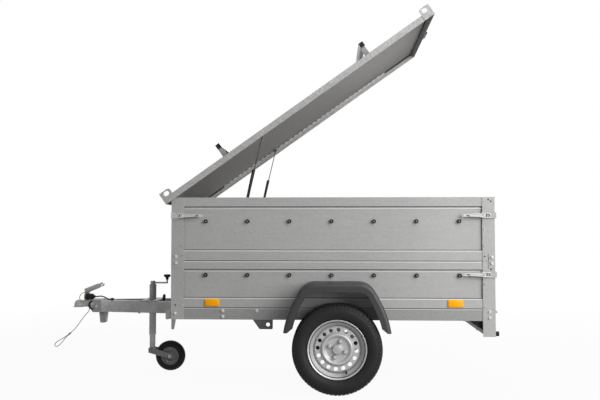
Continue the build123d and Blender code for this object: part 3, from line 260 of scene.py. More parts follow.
class Finish:
    """A material wired up around its Principled shader, in object coordinates."""

    def __init__(self, name, roughness, metallic=0.0, **values):
        self.material = bpy.data.materials.new(name)
        self.material.use_nodes = True
        self.tree = self.material.node_tree
        self.shader = self.tree.nodes["Principled BSDF"]
        self.set(self.shader, Roughness=roughness, Metallic=metallic, **values)
        self.place = self.tree.nodes.new("ShaderNodeTexCoord").outputs["Object"]

    def put(self, socket, value):
        if isinstance(value, bpy.types.NodeSocket):
            self.tree.links.new(value, socket)
        else:
            socket.default_value = value

    def set(self, node, **values):
        for label, value in values.items():
            self.put(node.inputs[label.replace("_", " ")], value)

    def node(self, kind, settings=None, **values):
        made = self.tree.nodes.new(kind)
        for label, value in (settings or {}).items():
            setattr(made, label, value)
        self.set(made, **values)
        return made

    def pattern(self, kind, output, stretch, **values):
        place = self.place
        if stretch:
            place = self.node("ShaderNodeMapping", Vector=place, Scale=stretch).outputs["Vector"]
        return self.node(kind, Vector=place, **values).outputs[output]

    def noise(self, scale, detail=3.0, stretch=None):
        return self.pattern("ShaderNodeTexNoise", "Fac", stretch, Scale=scale, Detail=detail, Roughness=0.55)

    def cells(self, scale, output="Color", stretch=None):
        return self.pattern("ShaderNodeTexVoronoi", output, stretch, Scale=scale)

    def mottle(self, to_low, to_high, scale, **settings):
        """Noise spread over a range of values."""
        return self.spread(self.noise(scale, **settings), *NOISE_MIDDLE, to_low, to_high)

    def spread(self, factor, from_low, from_high, to_low, to_high):
        return self.node(
            "ShaderNodeMapRange", Value=factor,
            From_Min=from_low, From_Max=from_high, To_Min=to_low, To_Max=to_high,
        ).outputs["Result"]

    def math(self, operation, *values):
        made = self.node("ShaderNodeMath", {"operation": operation})
        for socket, value in zip(made.inputs, values):
            self.put(socket, value)
        return made.outputs["Value"]

    def line_at(self, height, half):
        """1 on a level line of the object and 0 away from it."""
        level = self.node("ShaderNodeSeparateXYZ", Vector=self.place).outputs["Z"]
        away = self.math("ABSOLUTE", self.math("SUBTRACT", level, height))
        return self.spread(away, half / 2, half, 1.0, 0.0)

    def between(self, factor, first, second):
        made = self.node("ShaderNodeMix", {"data_type": "RGBA"}, Factor=factor)
        for socket, colour in ((made.inputs[6], first), (made.inputs[7], second)):
            self.put(socket, (*colour, 1) if isinstance(colour, tuple) else colour)
        return made.outputs[2]

    def bump(self, height, strength, distance):
        return self.node("ShaderNodeBump", Height=height, Strength=strength, Distance=distance).outputs[0]

    def done(self, **values):
        """Wires the last values to the shader and gives the material."""
        self.set(self.shader, **values)
        return self.material


def grey(level, warmth=0.0):
    """A linear grey, a little warmer or cooler."""
    return (level * (1 + warmth), level, level * (1 - warmth))


SPANGLE_SCALE = 85
MARK_SCALE = 26
MARK_STRETCH = (0.25, 1, 3)
# Shares of the grey level for the painted shade lines and the painted highlight lines
SHADE_LINE_SHARE = 0.3
HIGHLIGHT_LINE_SHARE = 1.7


def zinc_sheet(
    name, level, spangle, roughness, metallic=0.1, specular=0.2, warmth=0.008, shade_lines=(), highlight_lines=(),
    clouds=0.04, cloud_scale=1.6,
):
    """Galvanised sheet: spangle, slow clouding, handling marks, painted shade lines at creases and painted
    highlight lines below them.
    """
    finish = Finish(name, roughness, metallic, Specular_IOR_Level=specular)
    crystals = finish.spread(finish.cells(SPANGLE_SCALE), 0.0, 1.0, -spangle, spangle)
    drift = finish.mottle(-clouds, clouds, cloud_scale, detail=4)
    scuffs = finish.noise(MARK_SCALE, detail=6, stretch=MARK_STRETCH)
    marks = finish.spread(scuffs, 0.35, 0.7, -0.03, 0.025)
    shade = finish.math("ADD", finish.math("ADD", crystals, drift), marks)
    factor = finish.spread(shade, -0.5, 0.5, 0.0, 1.0)
    tint = finish.between(factor, grey(level * 0.5, warmth), grey(level * 1.5, warmth))
    # Painted shade and painted highlights: level lines darkened or lightened at given heights
    for heights, share in ((shade_lines, SHADE_LINE_SHARE), (highlight_lines, HIGHLIGHT_LINE_SHARE)):
        for height in heights:
            tint = finish.between(finish.line_at(height, LINE_HALF), tint, grey(level * share, warmth))
    return finish.done(
        Base_Color=tint,
        Roughness=finish.mottle(roughness - 0.06, roughness + 0.08, 60, detail=2),
        Normal=finish.bump(finish.noise(140, detail=2), 0.05, 0.0006),
    )


def painted_steel(name, colour, roughness, flake=0.06):
    finish = Finish(name, roughness, 0.35, Coat_Weight=0.15, Coat_Roughness=0.3)
    dark = tuple(c * (1 - flake) for c in colour)
    light = tuple(min(1, c * (1 + flake)) for c in colour)
    return finish.done(
        Base_Color=finish.between(finish.mottle(0.0, 1.0, 420, detail=2), dark, light),
        Normal=finish.bump(finish.noise(900, detail=1), 0.06, 0.0003),
    )


def moulded(name, level, roughness, grain, warmth=0.0, dust=0.25, tint=(1, 1, 1), specular=0.16):
    """Rubber or plastic with a fine grain and a trace of dust."""
    finish = Finish(name, roughness, Specular_IOR_Level=specular)
    factor = finish.spread(finish.noise(9, detail=5), 0.35, 0.7, 0.0, 1.0)
    shades = [
        tuple(part * share for part, share in zip(grey(shade, warmth), tint))
        for shade in (level, level * (1 + dust))
    ]
    return finish.done(
        Base_Color=finish.between(factor, *shades),
        Roughness=finish.mottle(roughness - 0.06, roughness + 0.06, 45),
        Normal=finish.bump(finish.noise(grain, detail=2), 0.25, 0.0004),
    )


def lens(name, colour, deep):
    """Moulded reflector lens: a field of small prisms."""
    finish = Finish(name, 0.35, Specular_IOR_Level=0.2)
    prisms = finish.cells(330, output="Distance")
    factor = finish.spread(prisms, 0.1, 0.6, 0.0, 1.0)
    return finish.done(
        Base_Color=finish.between(factor, colour, deep), Normal=finish.bump(prisms, 0.35, 0.0012)
    )


def film_plywood():
    """Brown phenolic film with a wire-mesh print."""
    finish = Finish("film_plywood", 0.45)
    mesh_print = finish.cells(240, output="Distance", stretch=(1, 1, 0.2))
    worn = finish.spread(finish.noise(6, detail=6), 0.4, 0.75, 0.0, 1.0)
    return finish.done(
        Base_Color=finish.between(worn, (0.075, 0.042, 0.026), (0.13, 0.082, 0.055)),
        Roughness=finish.mottle(0.36, 0.55, 30),
        Normal=finish.bump(mesh_print, 0.4, 0.0008),
    )


# Painted shade: dark lines where the boards' bands meet their fields and one another; painted highlights: bright
# lines just below them
LINE_HALF = 0.003
# Painted highlights lie this far below their painted shade lines, lower under the top bands, just below the shade
# of their overhang
HIGHLIGHT_DROP = 0.0062
HIGHLIGHT_UNDER = 0.0115
LOWER_BOARDS, UPPER_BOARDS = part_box("lower_side_boards"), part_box("upper_side_boards")
BAND_BEVEL = 0.005
BAND_HEIGHTS = {"lower": (0.058, 0.052), "upper": (0.062, 0.057)}
LOW_SHADE_LINES = [
    LOWER_BOARDS[0].z, LOWER_BOARDS[0].z + BAND_HEIGHTS["lower"][0] + BAND_BEVEL,
    LOWER_BOARDS[1].z, UPPER_BOARDS[0].z + BAND_HEIGHTS["upper"][0] + BAND_BEVEL,
]
TOP_SHADE_LINES = [
    boards[1].z - BAND_HEIGHTS[row][1] - BAND_BEVEL / 2
    for row, boards in (("lower", LOWER_BOARDS), ("upper", UPPER_BOARDS))
]
BOARD_SHADE_AND_HIGHLIGHT_LINES = {
    "shade_lines": LOW_SHADE_LINES + TOP_SHADE_LINES,
    "highlight_lines": [z - HIGHLIGHT_DROP for z in LOW_SHADE_LINES] + [z - HIGHLIGHT_UNDER for z in TOP_SHADE_LINES],
}

# Galvanised finishes: name, grey level, spangle, roughness, other settings
ZINC_SHEETS = (
    ("galvanised", 0.38, 0.05, 0.5, {}),
    # The boards and sills carry the painted shade lines and painted highlight lines
    ("boards", 0.38, 0.05, 0.5, BOARD_SHADE_AND_HIGHLIGHT_LINES),
    ("sill_sheet", 0.29, 0.06, 0.52, BOARD_SHADE_AND_HIGHLIGHT_LINES),
    ("spangled", 0.4, 0.17, 0.46, {}),
    ("bright_tab", 0.6, 0.1, 0.45, {}),
    ("dull_zinc", 0.26, 0.06, 0.5, {}),
    ("dark_zinc", 0.12, 0.06, 0.5, {}),
    ("cast_zinc", 0.42, 0.0, 0.42, {"metallic": 0.2}),
    ("rail_sheet", 0.58, 0.12, 0.46, {"clouds": 0.2, "cloud_scale": 7.0}),
    # lid_under is a darker, duller copy of the galvanised sheet on the lid skin: painted shade for its underside
    ("lid_under", 0.26, 0.05, 0.6, {"metallic": 0.0, "specular": 0.06, "warmth": 0.02}),
    ("chassis", 0.4, 0.08, 0.52, {}),
    ("zinc_plated", 0.42, 0.05, 0.38, {"metallic": 0.35, "warmth": 0.004}),
    ("bright_zinc", 0.5, 0.04, 0.34, {"metallic": 0.35, "warmth": 0.0}),
    ("rod_steel", 0.06, 0.02, 0.6, {"metallic": 0.0, "specular": 0.1}),
    ("cable_steel", 0.17, 0.03, 0.4, {"metallic": 0.3}),
)
# Rubber and plastic: name, grey level, roughness, grain, other settings
MOULDINGS = (
    ("tyre_rubber", 0.012, 0.55, 700, {"dust": 0.5, "specular": 0.18}),
    ("fender_plastic", 0.023, 0.5, 1100, {"warmth": 0.01, "specular": 0.4}),
    ("black_plastic", 0.012, 0.5, 800, {}),
    ("black_rubber", 0.012, 0.65, 600, {}),
    ("black_paint", 0.012, 0.4, 300, {}),
    ("yellow_green", 0.3, 0.5, 500, {"tint": (1.0, 1.0, 0.12)}),
)
# Lenses: name, colour, colour between the prisms
LENSES = (
    ("amber_lens", (1.0, 0.46, 0.0), (0.94, 0.38, 0.0)),
    ("red_lens", (0.5, 0.012, 0.01), (0.3, 0.004, 0.004)),
    ("clear_lens", (0.7, 0.7, 0.7), (0.5, 0.5, 0.52)),
)
RIM_GREY = (0.45, 0.45, 0.455)
MATERIALS = {
    "rim_paint": painted_steel("rim_paint", RIM_GREY, 0.42),
    "plywood": film_plywood(),
    **{name: zinc_sheet(name, *values, **other) for name, *values, other in ZINC_SHEETS},
    **{name: moulded(name, *values, **other) for name, *values, other in MOULDINGS},
    **{name: lens(name, *colours) for name, *colours in LENSES},
}
NODE_SLOTS = {row["node"]: row["material_slot"] for row in frame["record"]["subparts"]}
# Finishes given apart from the slots: finish, nodes
OWN_FINISHES = (
    ("boards", ("lower_side_boards", "upper_side_boards", "lower_front_board", "upper_front_board")),
    ("sill_sheet", ("sills",)),
    ("rail_sheet", ("drawbar_rails", "jockey_outer_tube", "jockey_inner_tube")),
    ("dull_zinc", ("front_hooks", "jockey_rim", "jockey_fork")),
    ("dark_zinc", ("jack_brackets",)),
    ("cast_zinc", ("coupling_handle",)),
    ("chassis", ("nose_bracket",)),
    ("bright_zinc", ("latches",)),
    ("spangled", ("lid_frame", "lid_ears")),
    # The lid skin takes the darker copy of the galvanised sheet as painted shade
    ("lid_under", ("lid_skin",)),
)


def dress_nodes():
    """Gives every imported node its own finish, or else the one of its slot."""
    finishes = {**NODE_SLOTS, **{node: finish for finish, members in OWN_FINISHES for node in members}}
    for name, obj in nodes.items():
        for slot in obj.material_slots:
            slot.material = MATERIALS[finishes[name]]


# Camera, stage and light

LENS_MM = 44.33
SENSOR_MM = 36
CAMERA_BEHIND_FRONT = 1.0226
CAMERA_Y = -5.22
CAMERA_HEIGHT = 1.005
CAMERA_YAW = math.radians(2.56)
CAMERA_PITCH = math.radians(2.17)


def make_camera():
    data = bpy.data.cameras.new("camera")
    data.lens = LENS_MM
    data.sensor_width = SENSOR_MM
    camera = linked("camera", data)
    camera.location = (X_FRONT + CAMERA_BEHIND_FRONT, CAMERA_Y, CAMERA_HEIGHT)
    camera.rotation_euler = (math.pi / 2 + CAMERA_PITCH, 0, CAMERA_YAW)
    bpy.context.scene.camera = camera


def seen_ray(tree):
    """A factor that is 1 for what the camera sees directly or in a reflection."""
    path = tree.nodes.new("ShaderNodeLightPath")
    total = path.outputs["Is Camera Ray"]
    for label in ("Is Glossy Ray", "Is Transmission Ray"):
        step = tree.nodes.new("ShaderNodeMath")
        step.operation = "MAXIMUM"
        tree.links.new(total, step.inputs[0])
        tree.links.new(path.outputs[label], step.inputs[1])
        total = step.outputs["Value"]
    return total


AMBIENT = 0.1


def make_world():
    world = bpy.data.worlds.new("studio")
    bpy.context.scene.world = world
    world.use_nodes = True
    tree = world.node_tree
    background = tree.nodes["Background"]
    background.inputs["Color"].default_value = (1, 1, 1, 1)
    level = tree.nodes.new("ShaderNodeMapRange")
    level.inputs["To Min"].default_value = AMBIENT
    level.inputs["To Max"].default_value = 1.0
    tree.links.new(seen_ray(tree), level.inputs["Value"])
    tree.links.new(level.outputs["Result"], background.inputs["Strength"])


FLOOR_SIZE = 60
FLOOR_GREY = (0.34, 0.34, 0.34, 1)
FLOOR_GLOW = 0.95
FLOOR_SHADE_REACH = (2.2, 5.5)


def make_floor():
    """A pale floor whose white keeps a soft shadow of the trailer."""
    mesh = bpy.data.meshes.new("floor")
    half = FLOOR_SIZE / 2
    corners = [(-half, -half, 0), (half, -half, 0), (half, half, 0), (-half, half, 0)]
    mesh.from_pydata(corners, [], [(0, 1, 2, 3)])
    finish = Finish("floor", 0.9, Base_Color=FLOOR_GREY, Specular_IOR_Level=0.0)
    glow = finish.node("ShaderNodeEmission", Strength=1.0)
    away = finish.node("ShaderNodeVectorMath", {"operation": "LENGTH"})
    finish.put(away.inputs[0], finish.place)
    glow_share = finish.spread(away.outputs["Value"], *FLOOR_SHADE_REACH, FLOOR_GLOW, 1.0)
    both = finish.node("ShaderNodeMixShader", Fac=finish.math("MULTIPLY", glow_share, seen_ray(finish.tree)))
    finish.put(both.inputs[1], finish.shader.outputs["BSDF"])
    finish.put(both.inputs[2], glow.outputs["Emission"])
    finish.put(finish.tree.nodes["Material Output"].inputs["Surface"], both.outputs["Shader"])
    mesh.materials.append(finish.material)
    linked("floor", mesh)


# Lamps: name, place, aim, size, power in watts
LAMPS = (
    ("key", (4.6, -3.8, 2.7), (1.7, 0.0, 0.7), 4.4, 405),
    ("fill", (-3.6, -3.4, 1.0), (-1.3, 0.0, 0.4), 1.6, 6),
    ("top", (2.2, -0.9, 5.2), (0.9, 0.0, 0.9), 3.4, 135),
    ("back", (0.6, 5.4, 3.4), (0.3, 0.0, 0.8), 3.5, 320),
)


def make_lamps():
    for name, place, aim, size, power in LAMPS:
        data = bpy.data.lights.new(name, "AREA")
        data.energy = power
        data.size = size
        lamp = linked(name, data)
        lamp.location = place
        lamp.rotation_euler = (Vector(aim) - Vector(place)).to_track_quat("-Z", "Y").to_euler()


# Cords: route points are (distance behind the coupling's tip, y, z) in metres

CABLE_DIAMETER = 0.005
CABLE_ROUTE = (
    (0.104, -0.0145, 0.548), (0.086, -0.031, 0.55), (0.068, -0.047, 0.54), (0.06, -0.061, 0.518),
    (0.07, -0.069, 0.495), (0.093, -0.07, 0.479), (0.117, -0.068, 0.465), (0.134, -0.065, 0.444),
    (0.132, -0.064, 0.423), (0.117, -0.063, 0.405), (0.097, -0.062, 0.384), (0.078, -0.061, 0.359),
    (0.06, -0.06, 0.333), (0.041, -0.059, 0.308), (0.02, -0.058, 0.285), (-0.008, -0.058, 0.262),
    (-0.036, -0.0585, 0.24), (-0.06, -0.06, 0.226), (-0.084, -0.063, 0.213), (-0.104, -0.066, 0.198),
    (-0.111, -0.068, 0.18), (-0.096, -0.069, 0.17), (-0.077, -0.069, 0.181), (-0.06, -0.0675, 0.2),
    (-0.044, -0.066, 0.221), (-0.025, -0.0646, 0.243), (-0.005, -0.0642, 0.26),
)
LEAD_DIAMETER = 0.009
LEAD_ROUTE = (
    (0.284, -0.05, 0.503), (0.266, -0.05, 0.503), (0.246, -0.048, 0.513), (0.224, -0.045, 0.522),
    (0.2, -0.042, 0.524), (0.18, -0.04, 0.5203), (0.166, -0.04, 0.5203),
)
ROPE_STRANDS = 6
ROPE_LAY = 0.032
ROPE_SIDES = 24
ROPE_GROOVE = 0.16


def route_places(route):
    return [Vector((X_TIP + behind, y, z)) for behind, y, z in route]


def route_curve(name, route):
    data = bpy.data.curves.new(name, "CURVE")
    data.dimensions = "3D"
    data.resolution_u = 16
    spline = data.splines.new("NURBS")
    spline.points.add(len(route) - 1)
    for point, place in zip(spline.points, route_places(route)):
        point.co = (*place, 1)
    spline.order_u = 3
    spline.use_endpoint_u = True
    return linked(name, data)


def line_of(curve):
    """Points read along a curve that has no bevel."""
    mesh = bpy.data.meshes.new_from_object(curve)
    points = [vertex.co.copy() for vertex in mesh.vertices]
    bpy.data.meshes.remove(mesh)
    return points


def rope_radius(turn, travelled):
    """The rope's radius: one lobe per strand, twisted along the line."""
    lobe = ROPE_STRANDS * (turn + 2 * math.pi * travelled / ROPE_LAY)
    return CABLE_DIAMETER / 2 * (1 - ROPE_GROOVE * (1 - abs(math.cos(lobe / 2))))


FERRULE_LENGTH = 0.026
FERRULE_RADIUS = 0.0062
FERRULE_TAPER = 0.8
# Points past the middle of the rope that are still on its way out, and points that give its end's direction
OUTWARD_SPARE = 40
END_POINTS = 12


def make_cable():
    curve = route_curve("cable_line", CABLE_ROUTE)
    points = line_of(curve)
    bpy.data.objects.remove(curve)
    cable = Shape().add(sweep(points, ROPE_SIDES, rope_radius)).piece(
        "safety_cable_rope", "cable_steel", replaces=["safety_cable"]
    )
    end = points[-1]
    outward = points[: len(points) // 2 + OUTWARD_SPARE]
    beside = min(outward, key=lambda p: (p - end).length)
    half = FERRULE_LENGTH / 2
    narrow = FERRULE_RADIUS * FERRULE_TAPER
    profile = (
        (0, -half), (narrow, -half), (FERRULE_RADIUS, -half * FERRULE_TAPER),
        (FERRULE_RADIUS, half * FERRULE_TAPER), (narrow, half), (0, half),
    )
    place = facing((end + beside) / 2, (end - points[-END_POINTS]).normalized())
    ferrule = Shape().add(lathe(profile, 20), place).piece("cable_ferrule", "chassis", slot="cable_steel")


def make_lead():
    lead = route_curve("power_lead_flex", LEAD_ROUTE)
    lead.data.bevel_depth = LEAD_DIAMETER / 2
    lead.data.bevel_resolution = 4
    lead.data.use_fill_caps = True
    lead.data.materials.append(MATERIALS["black_rubber"])
    place_piece(lead, "trailer", ["power_lead"])


# Road wheels

TREAD_PITCHES = 68
# Shares of one tread pitch, with True where a cross groove runs
PITCH_STEPS = ((0.0, False), (0.015, True), (0.125, True), (0.14, False), (0.5, False), (0.58, False))
GROOVE_DEPTH = 0.0065
GROOVE_HALF = 0.0035
GROOVE_PLACES = (0.013, 0.037)
TREAD_SHARE = 0.7
SHOULDER_SHARE = 0.955
SHOULDER_DROP = 0.03
GROOVE_STEP = 0.0006
# The bead's inset from the tyre's side, and radii of the bead's foot, its top and the widest place
BEAD_INSET = 0.0221
BEAD_RADII = (0.1653, 0.181)
WIDEST_RADIUS = 0.2154
# A point of the rounded shoulder: drop from the tread, share of the half width
SHOULDER_POINT = (0.0105, 0.865)
# Raised rings on the sidewall: inner radius, outer radius, rise
SIDEWALL_RIBS = ((0.1885, 0.1965, 0.0016), (0.232, 0.237, 0.0012))


def arc_through(first, middle, last, count):
    """Points of the circle arc through three points."""
    a, b, c = (complex(*point) for point in (first, middle, last))
    ratio = (c - a) / (b - a)
    centre = a + (b - a) * (ratio - abs(ratio) ** 2) / (2j * ratio.imag)
    start, end = (math.atan2((p - centre).imag, (p - centre).real) for p in (a, c))
    return arc((centre.real, centre.imag), abs(a - centre), start, end, count)


def tyre_half_profile(half):
    """(radius, outwards, kind) from the bead to the middle of the tread."""
    bead = half - BEAD_INSET
    edge = (WHEEL_RADIUS - SHOULDER_DROP, half * SHOULDER_SHARE)
    side = [(radius, bead, "side") for radius in BEAD_RADII]
    wall = arc_through((BEAD_RADII[1], bead), (WIDEST_RADIUS, half), edge, 16)
    for radius, out in wall[1:]:
        rib = next((rise for start, stop, rise in SIDEWALL_RIBS if start < radius < stop), 0.0)
        side.append((radius, out + rib, "side"))
    drop, share = SHOULDER_POINT
    tread_edge = (WHEEL_RADIUS, half * TREAD_SHARE)
    shoulder = arc_through(edge, (WHEEL_RADIUS - drop, half * share), tread_edge, 6)
    side += [(radius, out, "block") for radius, out in shoulder[1:]]
    for place in reversed(GROOVE_PLACES):
        side += [
            (WHEEL_RADIUS, place + GROOVE_HALF + GROOVE_STEP, "block"),
            (WHEEL_RADIUS - GROOVE_DEPTH, place + GROOVE_HALF, "groove"),
            (WHEEL_RADIUS - GROOVE_DEPTH, place - GROOVE_HALF, "groove"),
            (WHEEL_RADIUS, place - GROOVE_HALF - GROOVE_STEP, "rib"),
        ]
    return side


def tyre_mesh(half):
    """Grid round the axle: block tread with cross grooves, ribs and finned shoulders."""
    near = tyre_half_profile(half)
    profile = near + [(radius, -out, kind) for radius, out, kind in reversed(near)]
    turns = [
        (2 * math.pi * (pitch + share) / TREAD_PITCHES, cut)
        for pitch in range(TREAD_PITCHES)
        for share, cut in PITCH_STEPS
    ]
    verts = []
    for turn, cut in turns:
        for radius, out, kind in profile:
            if cut and kind == "block":
                upward = 1 - (WHEEL_RADIUS - radius) / SHOULDER_DROP
                radius -= GROOVE_DEPTH * upward
                out -= math.copysign(GROOVE_DEPTH * (1 - upward), out)
            verts.append((radius * math.cos(turn), radius * math.sin(turn), out))
    rings = ring_faces(len(turns), len(profile), closed=True)
    return verts, [face[:1] + face[:0:-1] for face in rings]


# Rim sections as closed (radius, outwards) outlines: the barrel, and the disc outside and inside its vents
RIM_BARREL = (
    (0.1772, 0.0575), (0.1795, 0.059), (0.1795, 0.0612), (0.1775, 0.0622), (0.1725, 0.06), (0.169, 0.056),
    (0.1662, 0.0505), (0.164, 0.049), (0.1618, 0.044), (0.1595, 0.0405), (0.15, 0.0305), (0.144, 0.024),
    (0.1402, 0.015), (0.138, 0.0), (0.14, -0.008), (0.16, -0.022), (0.161, -0.052), (0.164, -0.0562),
    (0.169, -0.059), (0.1775, -0.0622), (0.1795, -0.0612), (0.1795, -0.059), (0.17, -0.0545),
    (0.165, -0.052), (0.164, -0.02), (0.144, -0.006), (0.142, 0.0), (0.144, 0.015), (0.154, 0.033),
    (0.1645, 0.04), (0.1652, 0.05), (0.17, 0.054), (0.1772, 0.0575),
)
RIM_SHOULDER = (
    (0.132, 0.0295), (0.132, 0.0335), (0.1362, 0.0312), (0.14, 0.0272), (0.1424, 0.0215), (0.1424, 0.014),
    (0.1392, 0.014), (0.1385, 0.0215), (0.1355, 0.0268), (0.132, 0.0295),
)
RIM_BOWL = (
    (0.0295, 0.03), (0.0295, 0.034), (0.064, 0.034), (0.07, 0.0352), (0.0745, 0.0392), (0.079, 0.0446),
    (0.083, 0.047), (0.088, 0.0476), (0.0925, 0.0462), (0.0965, 0.041), (0.1, 0.0358), (0.103, 0.0335),
    (0.103, 0.0295), (0.099, 0.0318), (0.093, 0.0405), (0.088, 0.043), (0.083, 0.0425), (0.079, 0.0395),
    (0.074, 0.0325), (0.068, 0.03), (0.0295, 0.03),
)
VENT_RING = (0.1328, 0.1022)
VENT_FACE = 0.0335
VENT_SHEET = 0.004
VENT_EDGE = 0.0008
VENT_COUNT = 16
VENT_RADIUS = 0.0122
VENT_CIRCLE = 0.1176
VENT_TURN = math.radians(-4)
BOLT_CIRCLE = 0.05
DISC_FACE = 0.034
VALVE_TURN = math.radians(-68)
VALVE_CIRCLE = 0.147
VALVE_OUT = 0.038
HUB_CAP_SINK = 0.003
WHEEL_BOLTS = 4
RIM_SEGMENTS = 96
BOLT_TURN = math.radians(-20)
WHEEL_BOLT_SEAT = ((0, 0.0), (0.0152, 0.0), (0.0152, 0.0025), (0.0118, 0.0065), (0.009, 0.0065))
WHEEL_BOLT_HEAD = ((0.0112, 0.006), (0.0112, 0.0155), (0.0096, 0.0195), (0.006, 0.0215), (0, 0.022))
HUB_CAP = (
    (0.0335, -0.001), (0.0335, 0.004), (0.0305, 0.006), (0.0298, 0.018), (0.0275, 0.0232), (0.0215, 0.0258),
    (0.0195, 0.0248), (0.013, 0.0262), (0, 0.0272),
)
VALVE_STEM = (
    (0, -0.012), (0.0055, -0.012), (0.0055, 0.006), (0.0042, 0.009), (0.0042, 0.024), (0.0048, 0.025),
    (0.0048, 0.034), (0.0035, 0.036), (0, 0.036),
)


def rim_disc():
    """The vented ring between the disc's shoulder and its bowl."""
    outer, inner = (circle((0, 0), radius, RIM_SEGMENTS) for radius in VENT_RING)
    vents = [
        circle((VENT_CIRCLE * math.cos(turn), VENT_CIRCLE * math.sin(turn)), VENT_RADIUS)
        for turn in even_turns(VENT_COUNT, VENT_TURN)
    ]
    return cut_plate(outer, [inner, *vents], VENT_SHEET, VENT_EDGE)


def on_disc(radius, turn, out):
    """A place on the wheel's outer face, in the wheel's own axes."""
    return moved((radius * math.cos(turn), radius * math.sin(turn), out))


def make_wheels():
    half = (high("tyre_left").y - low("tyre_left").y) / 2
    template = tyre_mesh(half)
    vented = rim_disc()
    for side, name in SIDES.items():
        body = f"wheel_{name}"
        centre = Vector((WHEEL_CENTRE.x, side * abs(WHEEL_CENTRE.y), WHEEL_CENTRE.z))
        outwards = moved(centre) @ outward_axes(side)
        Shape().add(template, outwards).piece(f"tread_{name}", "tyre_rubber", body, replaces=[f"tyre_{name}"])
        rim = Shape()
        for section in (RIM_BARREL, RIM_SHOULDER, RIM_BOWL):
            rim.add(lathe(section, RIM_SEGMENTS), outwards)
        rim.add(vented, outwards @ moved((0, 0, VENT_FACE - VENT_SHEET / 2)))
        rim.piece(f"wheel_rim_{name}", "rim_paint", body, replaces=[f"rim_{name}"])
        bolts = Shape()
        for turn in even_turns(WHEEL_BOLTS, BOLT_TURN):
            place = outwards @ on_disc(BOLT_CIRCLE, turn, DISC_FACE)
            bolts.add(lathe(WHEEL_BOLT_SEAT, 24), place)
            bolts.add(lathe(WHEEL_BOLT_HEAD, HEXAGON), place)
        bolts.add(lathe(HUB_CAP, 40), outwards @ on_disc(0, 0, DISC_FACE - HUB_CAP_SINK))
        bolts.piece(f"wheel_bolts_{name}", "cast_zinc", body, "zinc_plated")
        place = outwards @ on_disc(VALVE_CIRCLE, VALVE_TURN, VALVE_OUT)
        Shape().add(lathe(VALVE_STEM, 12), place).piece(f"valve_{name}", "black_rubber", body)


# Side fittings

BUTTON_COUNT = 7
BUTTON_PROFILE = (
    (0, 0.0), (0.013, 0.0), (0.013, 0.002), (0.0085, 0.004), (0.0075, 0.008), (0.0115, 0.0095),
    (0.0128, 0.0115), (0.0125, 0.0142), (0.0105, 0.016), (0.0072, 0.0155), (0.006, 0.0125), (0, 0.012),
)
BUTTON_RIVET = ((0, 0.011), (0.0052, 0.011), (0.0052, 0.0128), (0.003, 0.0142), (0, 0.0145))


def make_buttons():
    corner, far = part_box("cord_buttons")
    radius = max(point[0] for point in BUTTON_PROFILE)
    pitch = (far.x - corner.x - 2 * radius) / (BUTTON_COUNT - 1)
    face = far.y - max(point[1] for point in BUTTON_PROFILE)
    caps, rivets = Shape(), Shape()
    for side in SIDES:
        for level in (corner.z + radius, far.z - radius):
            for index in range(BUTTON_COUNT):
                at = facing((corner.x + radius + index * pitch, side * face, level), (0, side, 0))
                caps.add(lathe(BUTTON_PROFILE, 28), at)
                rivets.add(lathe(BUTTON_RIVET, 16), at)
    caps.piece("cord_knobs", "black_plastic", replaces=["cord_buttons"])
    rivets.piece("cord_knob_rivets", "dull_zinc", slot="chassis")


REFLECTOR_LENGTH = 0.094
REFLECTOR_HEIGHT = 0.046
REFLECTOR_RIM = 0.004
# Steps of a reflector: inset of its edge, depth from and to as shares of the whole, rounding, segments
REFLECTOR_STEPS = ((0.0, 0.0, 0.7, 0.002, 2), (REFLECTOR_RIM, 0.2, 1.0, 0.0022, 3))


def make_side_reflectors():
    corner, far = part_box("side_reflectors")
    depth = far.y - BOARD_FACE
    level = (corner.z + far.z) / 2
    shape = Shape()
    for side in SIDES:
        for x in (corner.x + REFLECTOR_LENGTH / 2, far.x - REFLECTOR_LENGTH / 2):
            for inset, inner, outer, rounding, segments in REFLECTOR_STEPS:
                place = (x, side * (BOARD_FACE + depth * (inner + outer) / 2), level)
                size = (REFLECTOR_LENGTH - 2 * inset, depth * (outer - inner), REFLECTOR_HEIGHT - 2 * inset)
                shape.add(slab(size, rounding, segments), moved(place))
    shape.piece("side_reflector_lenses", "amber_lens", replaces=["side_reflectors"])


# Fasteners

RIVET = ((0, -0.0005), (0.006, -0.0005), (0.006, 0.001), (0.0045, 0.0032), (0.002, 0.004), (0, 0.0042))
BOLT_WASHER = ((0, -0.0005), (0.0105, -0.0005), (0.0105, 0.0015), (0.0065, 0.0015))
BOLT_HEAD = ((0.0085, 0.0012), (0.0085, 0.0062), (0.0072, 0.0075), (0, 0.0075))
# Rivets on the posts' inner edges: heights, and distance in from each end
POST_RIVET_LEVELS = (0.997, 0.895, 0.657, 0.52)
POST_RIVET_INSET = {"front": 0.068, "rear": 0.066}
# Bolts on the posts: end, distance in from that end, height
POST_BOLTS = (
    ("front", 0.031, 0.824), ("front", 0.031, 0.785), ("front", 0.027, 0.468),
    ("rear", 0.036, 0.488), ("rear", 0.036, 0.451), ("rear", 0.02, 0.824), ("rear", 0.02, 0.785),
)
# Holes in the posts, drawn as black discs that paint the shade inside them: end, distance in from that end, height
POST_HOLES = (
    ("front", 0.068, 0.829), ("front", 0.028, 0.52), ("rear", 0.039, 1.182), ("rear", 0.024, 1.171),
    ("rear", 0.064, 0.829), ("rear", 0.026, 0.748),
)
# Bolts along the sills: distance behind the box front, height
SILL_BOLTS = ((0.328, 0.449), (0.328, 0.486), (0.544, 0.486))
# Rivets of the strut brackets, seen outside: distance behind the box front, height
STRUT_RIVETS = ((0.409, 1.045), (0.409, 0.98), (0.503, 1.045), (0.503, 0.98))
HOLE = ((0, 0.0004), (0.0045, 0.0004), (0.0052, 0.0), (0.0052, -0.001))
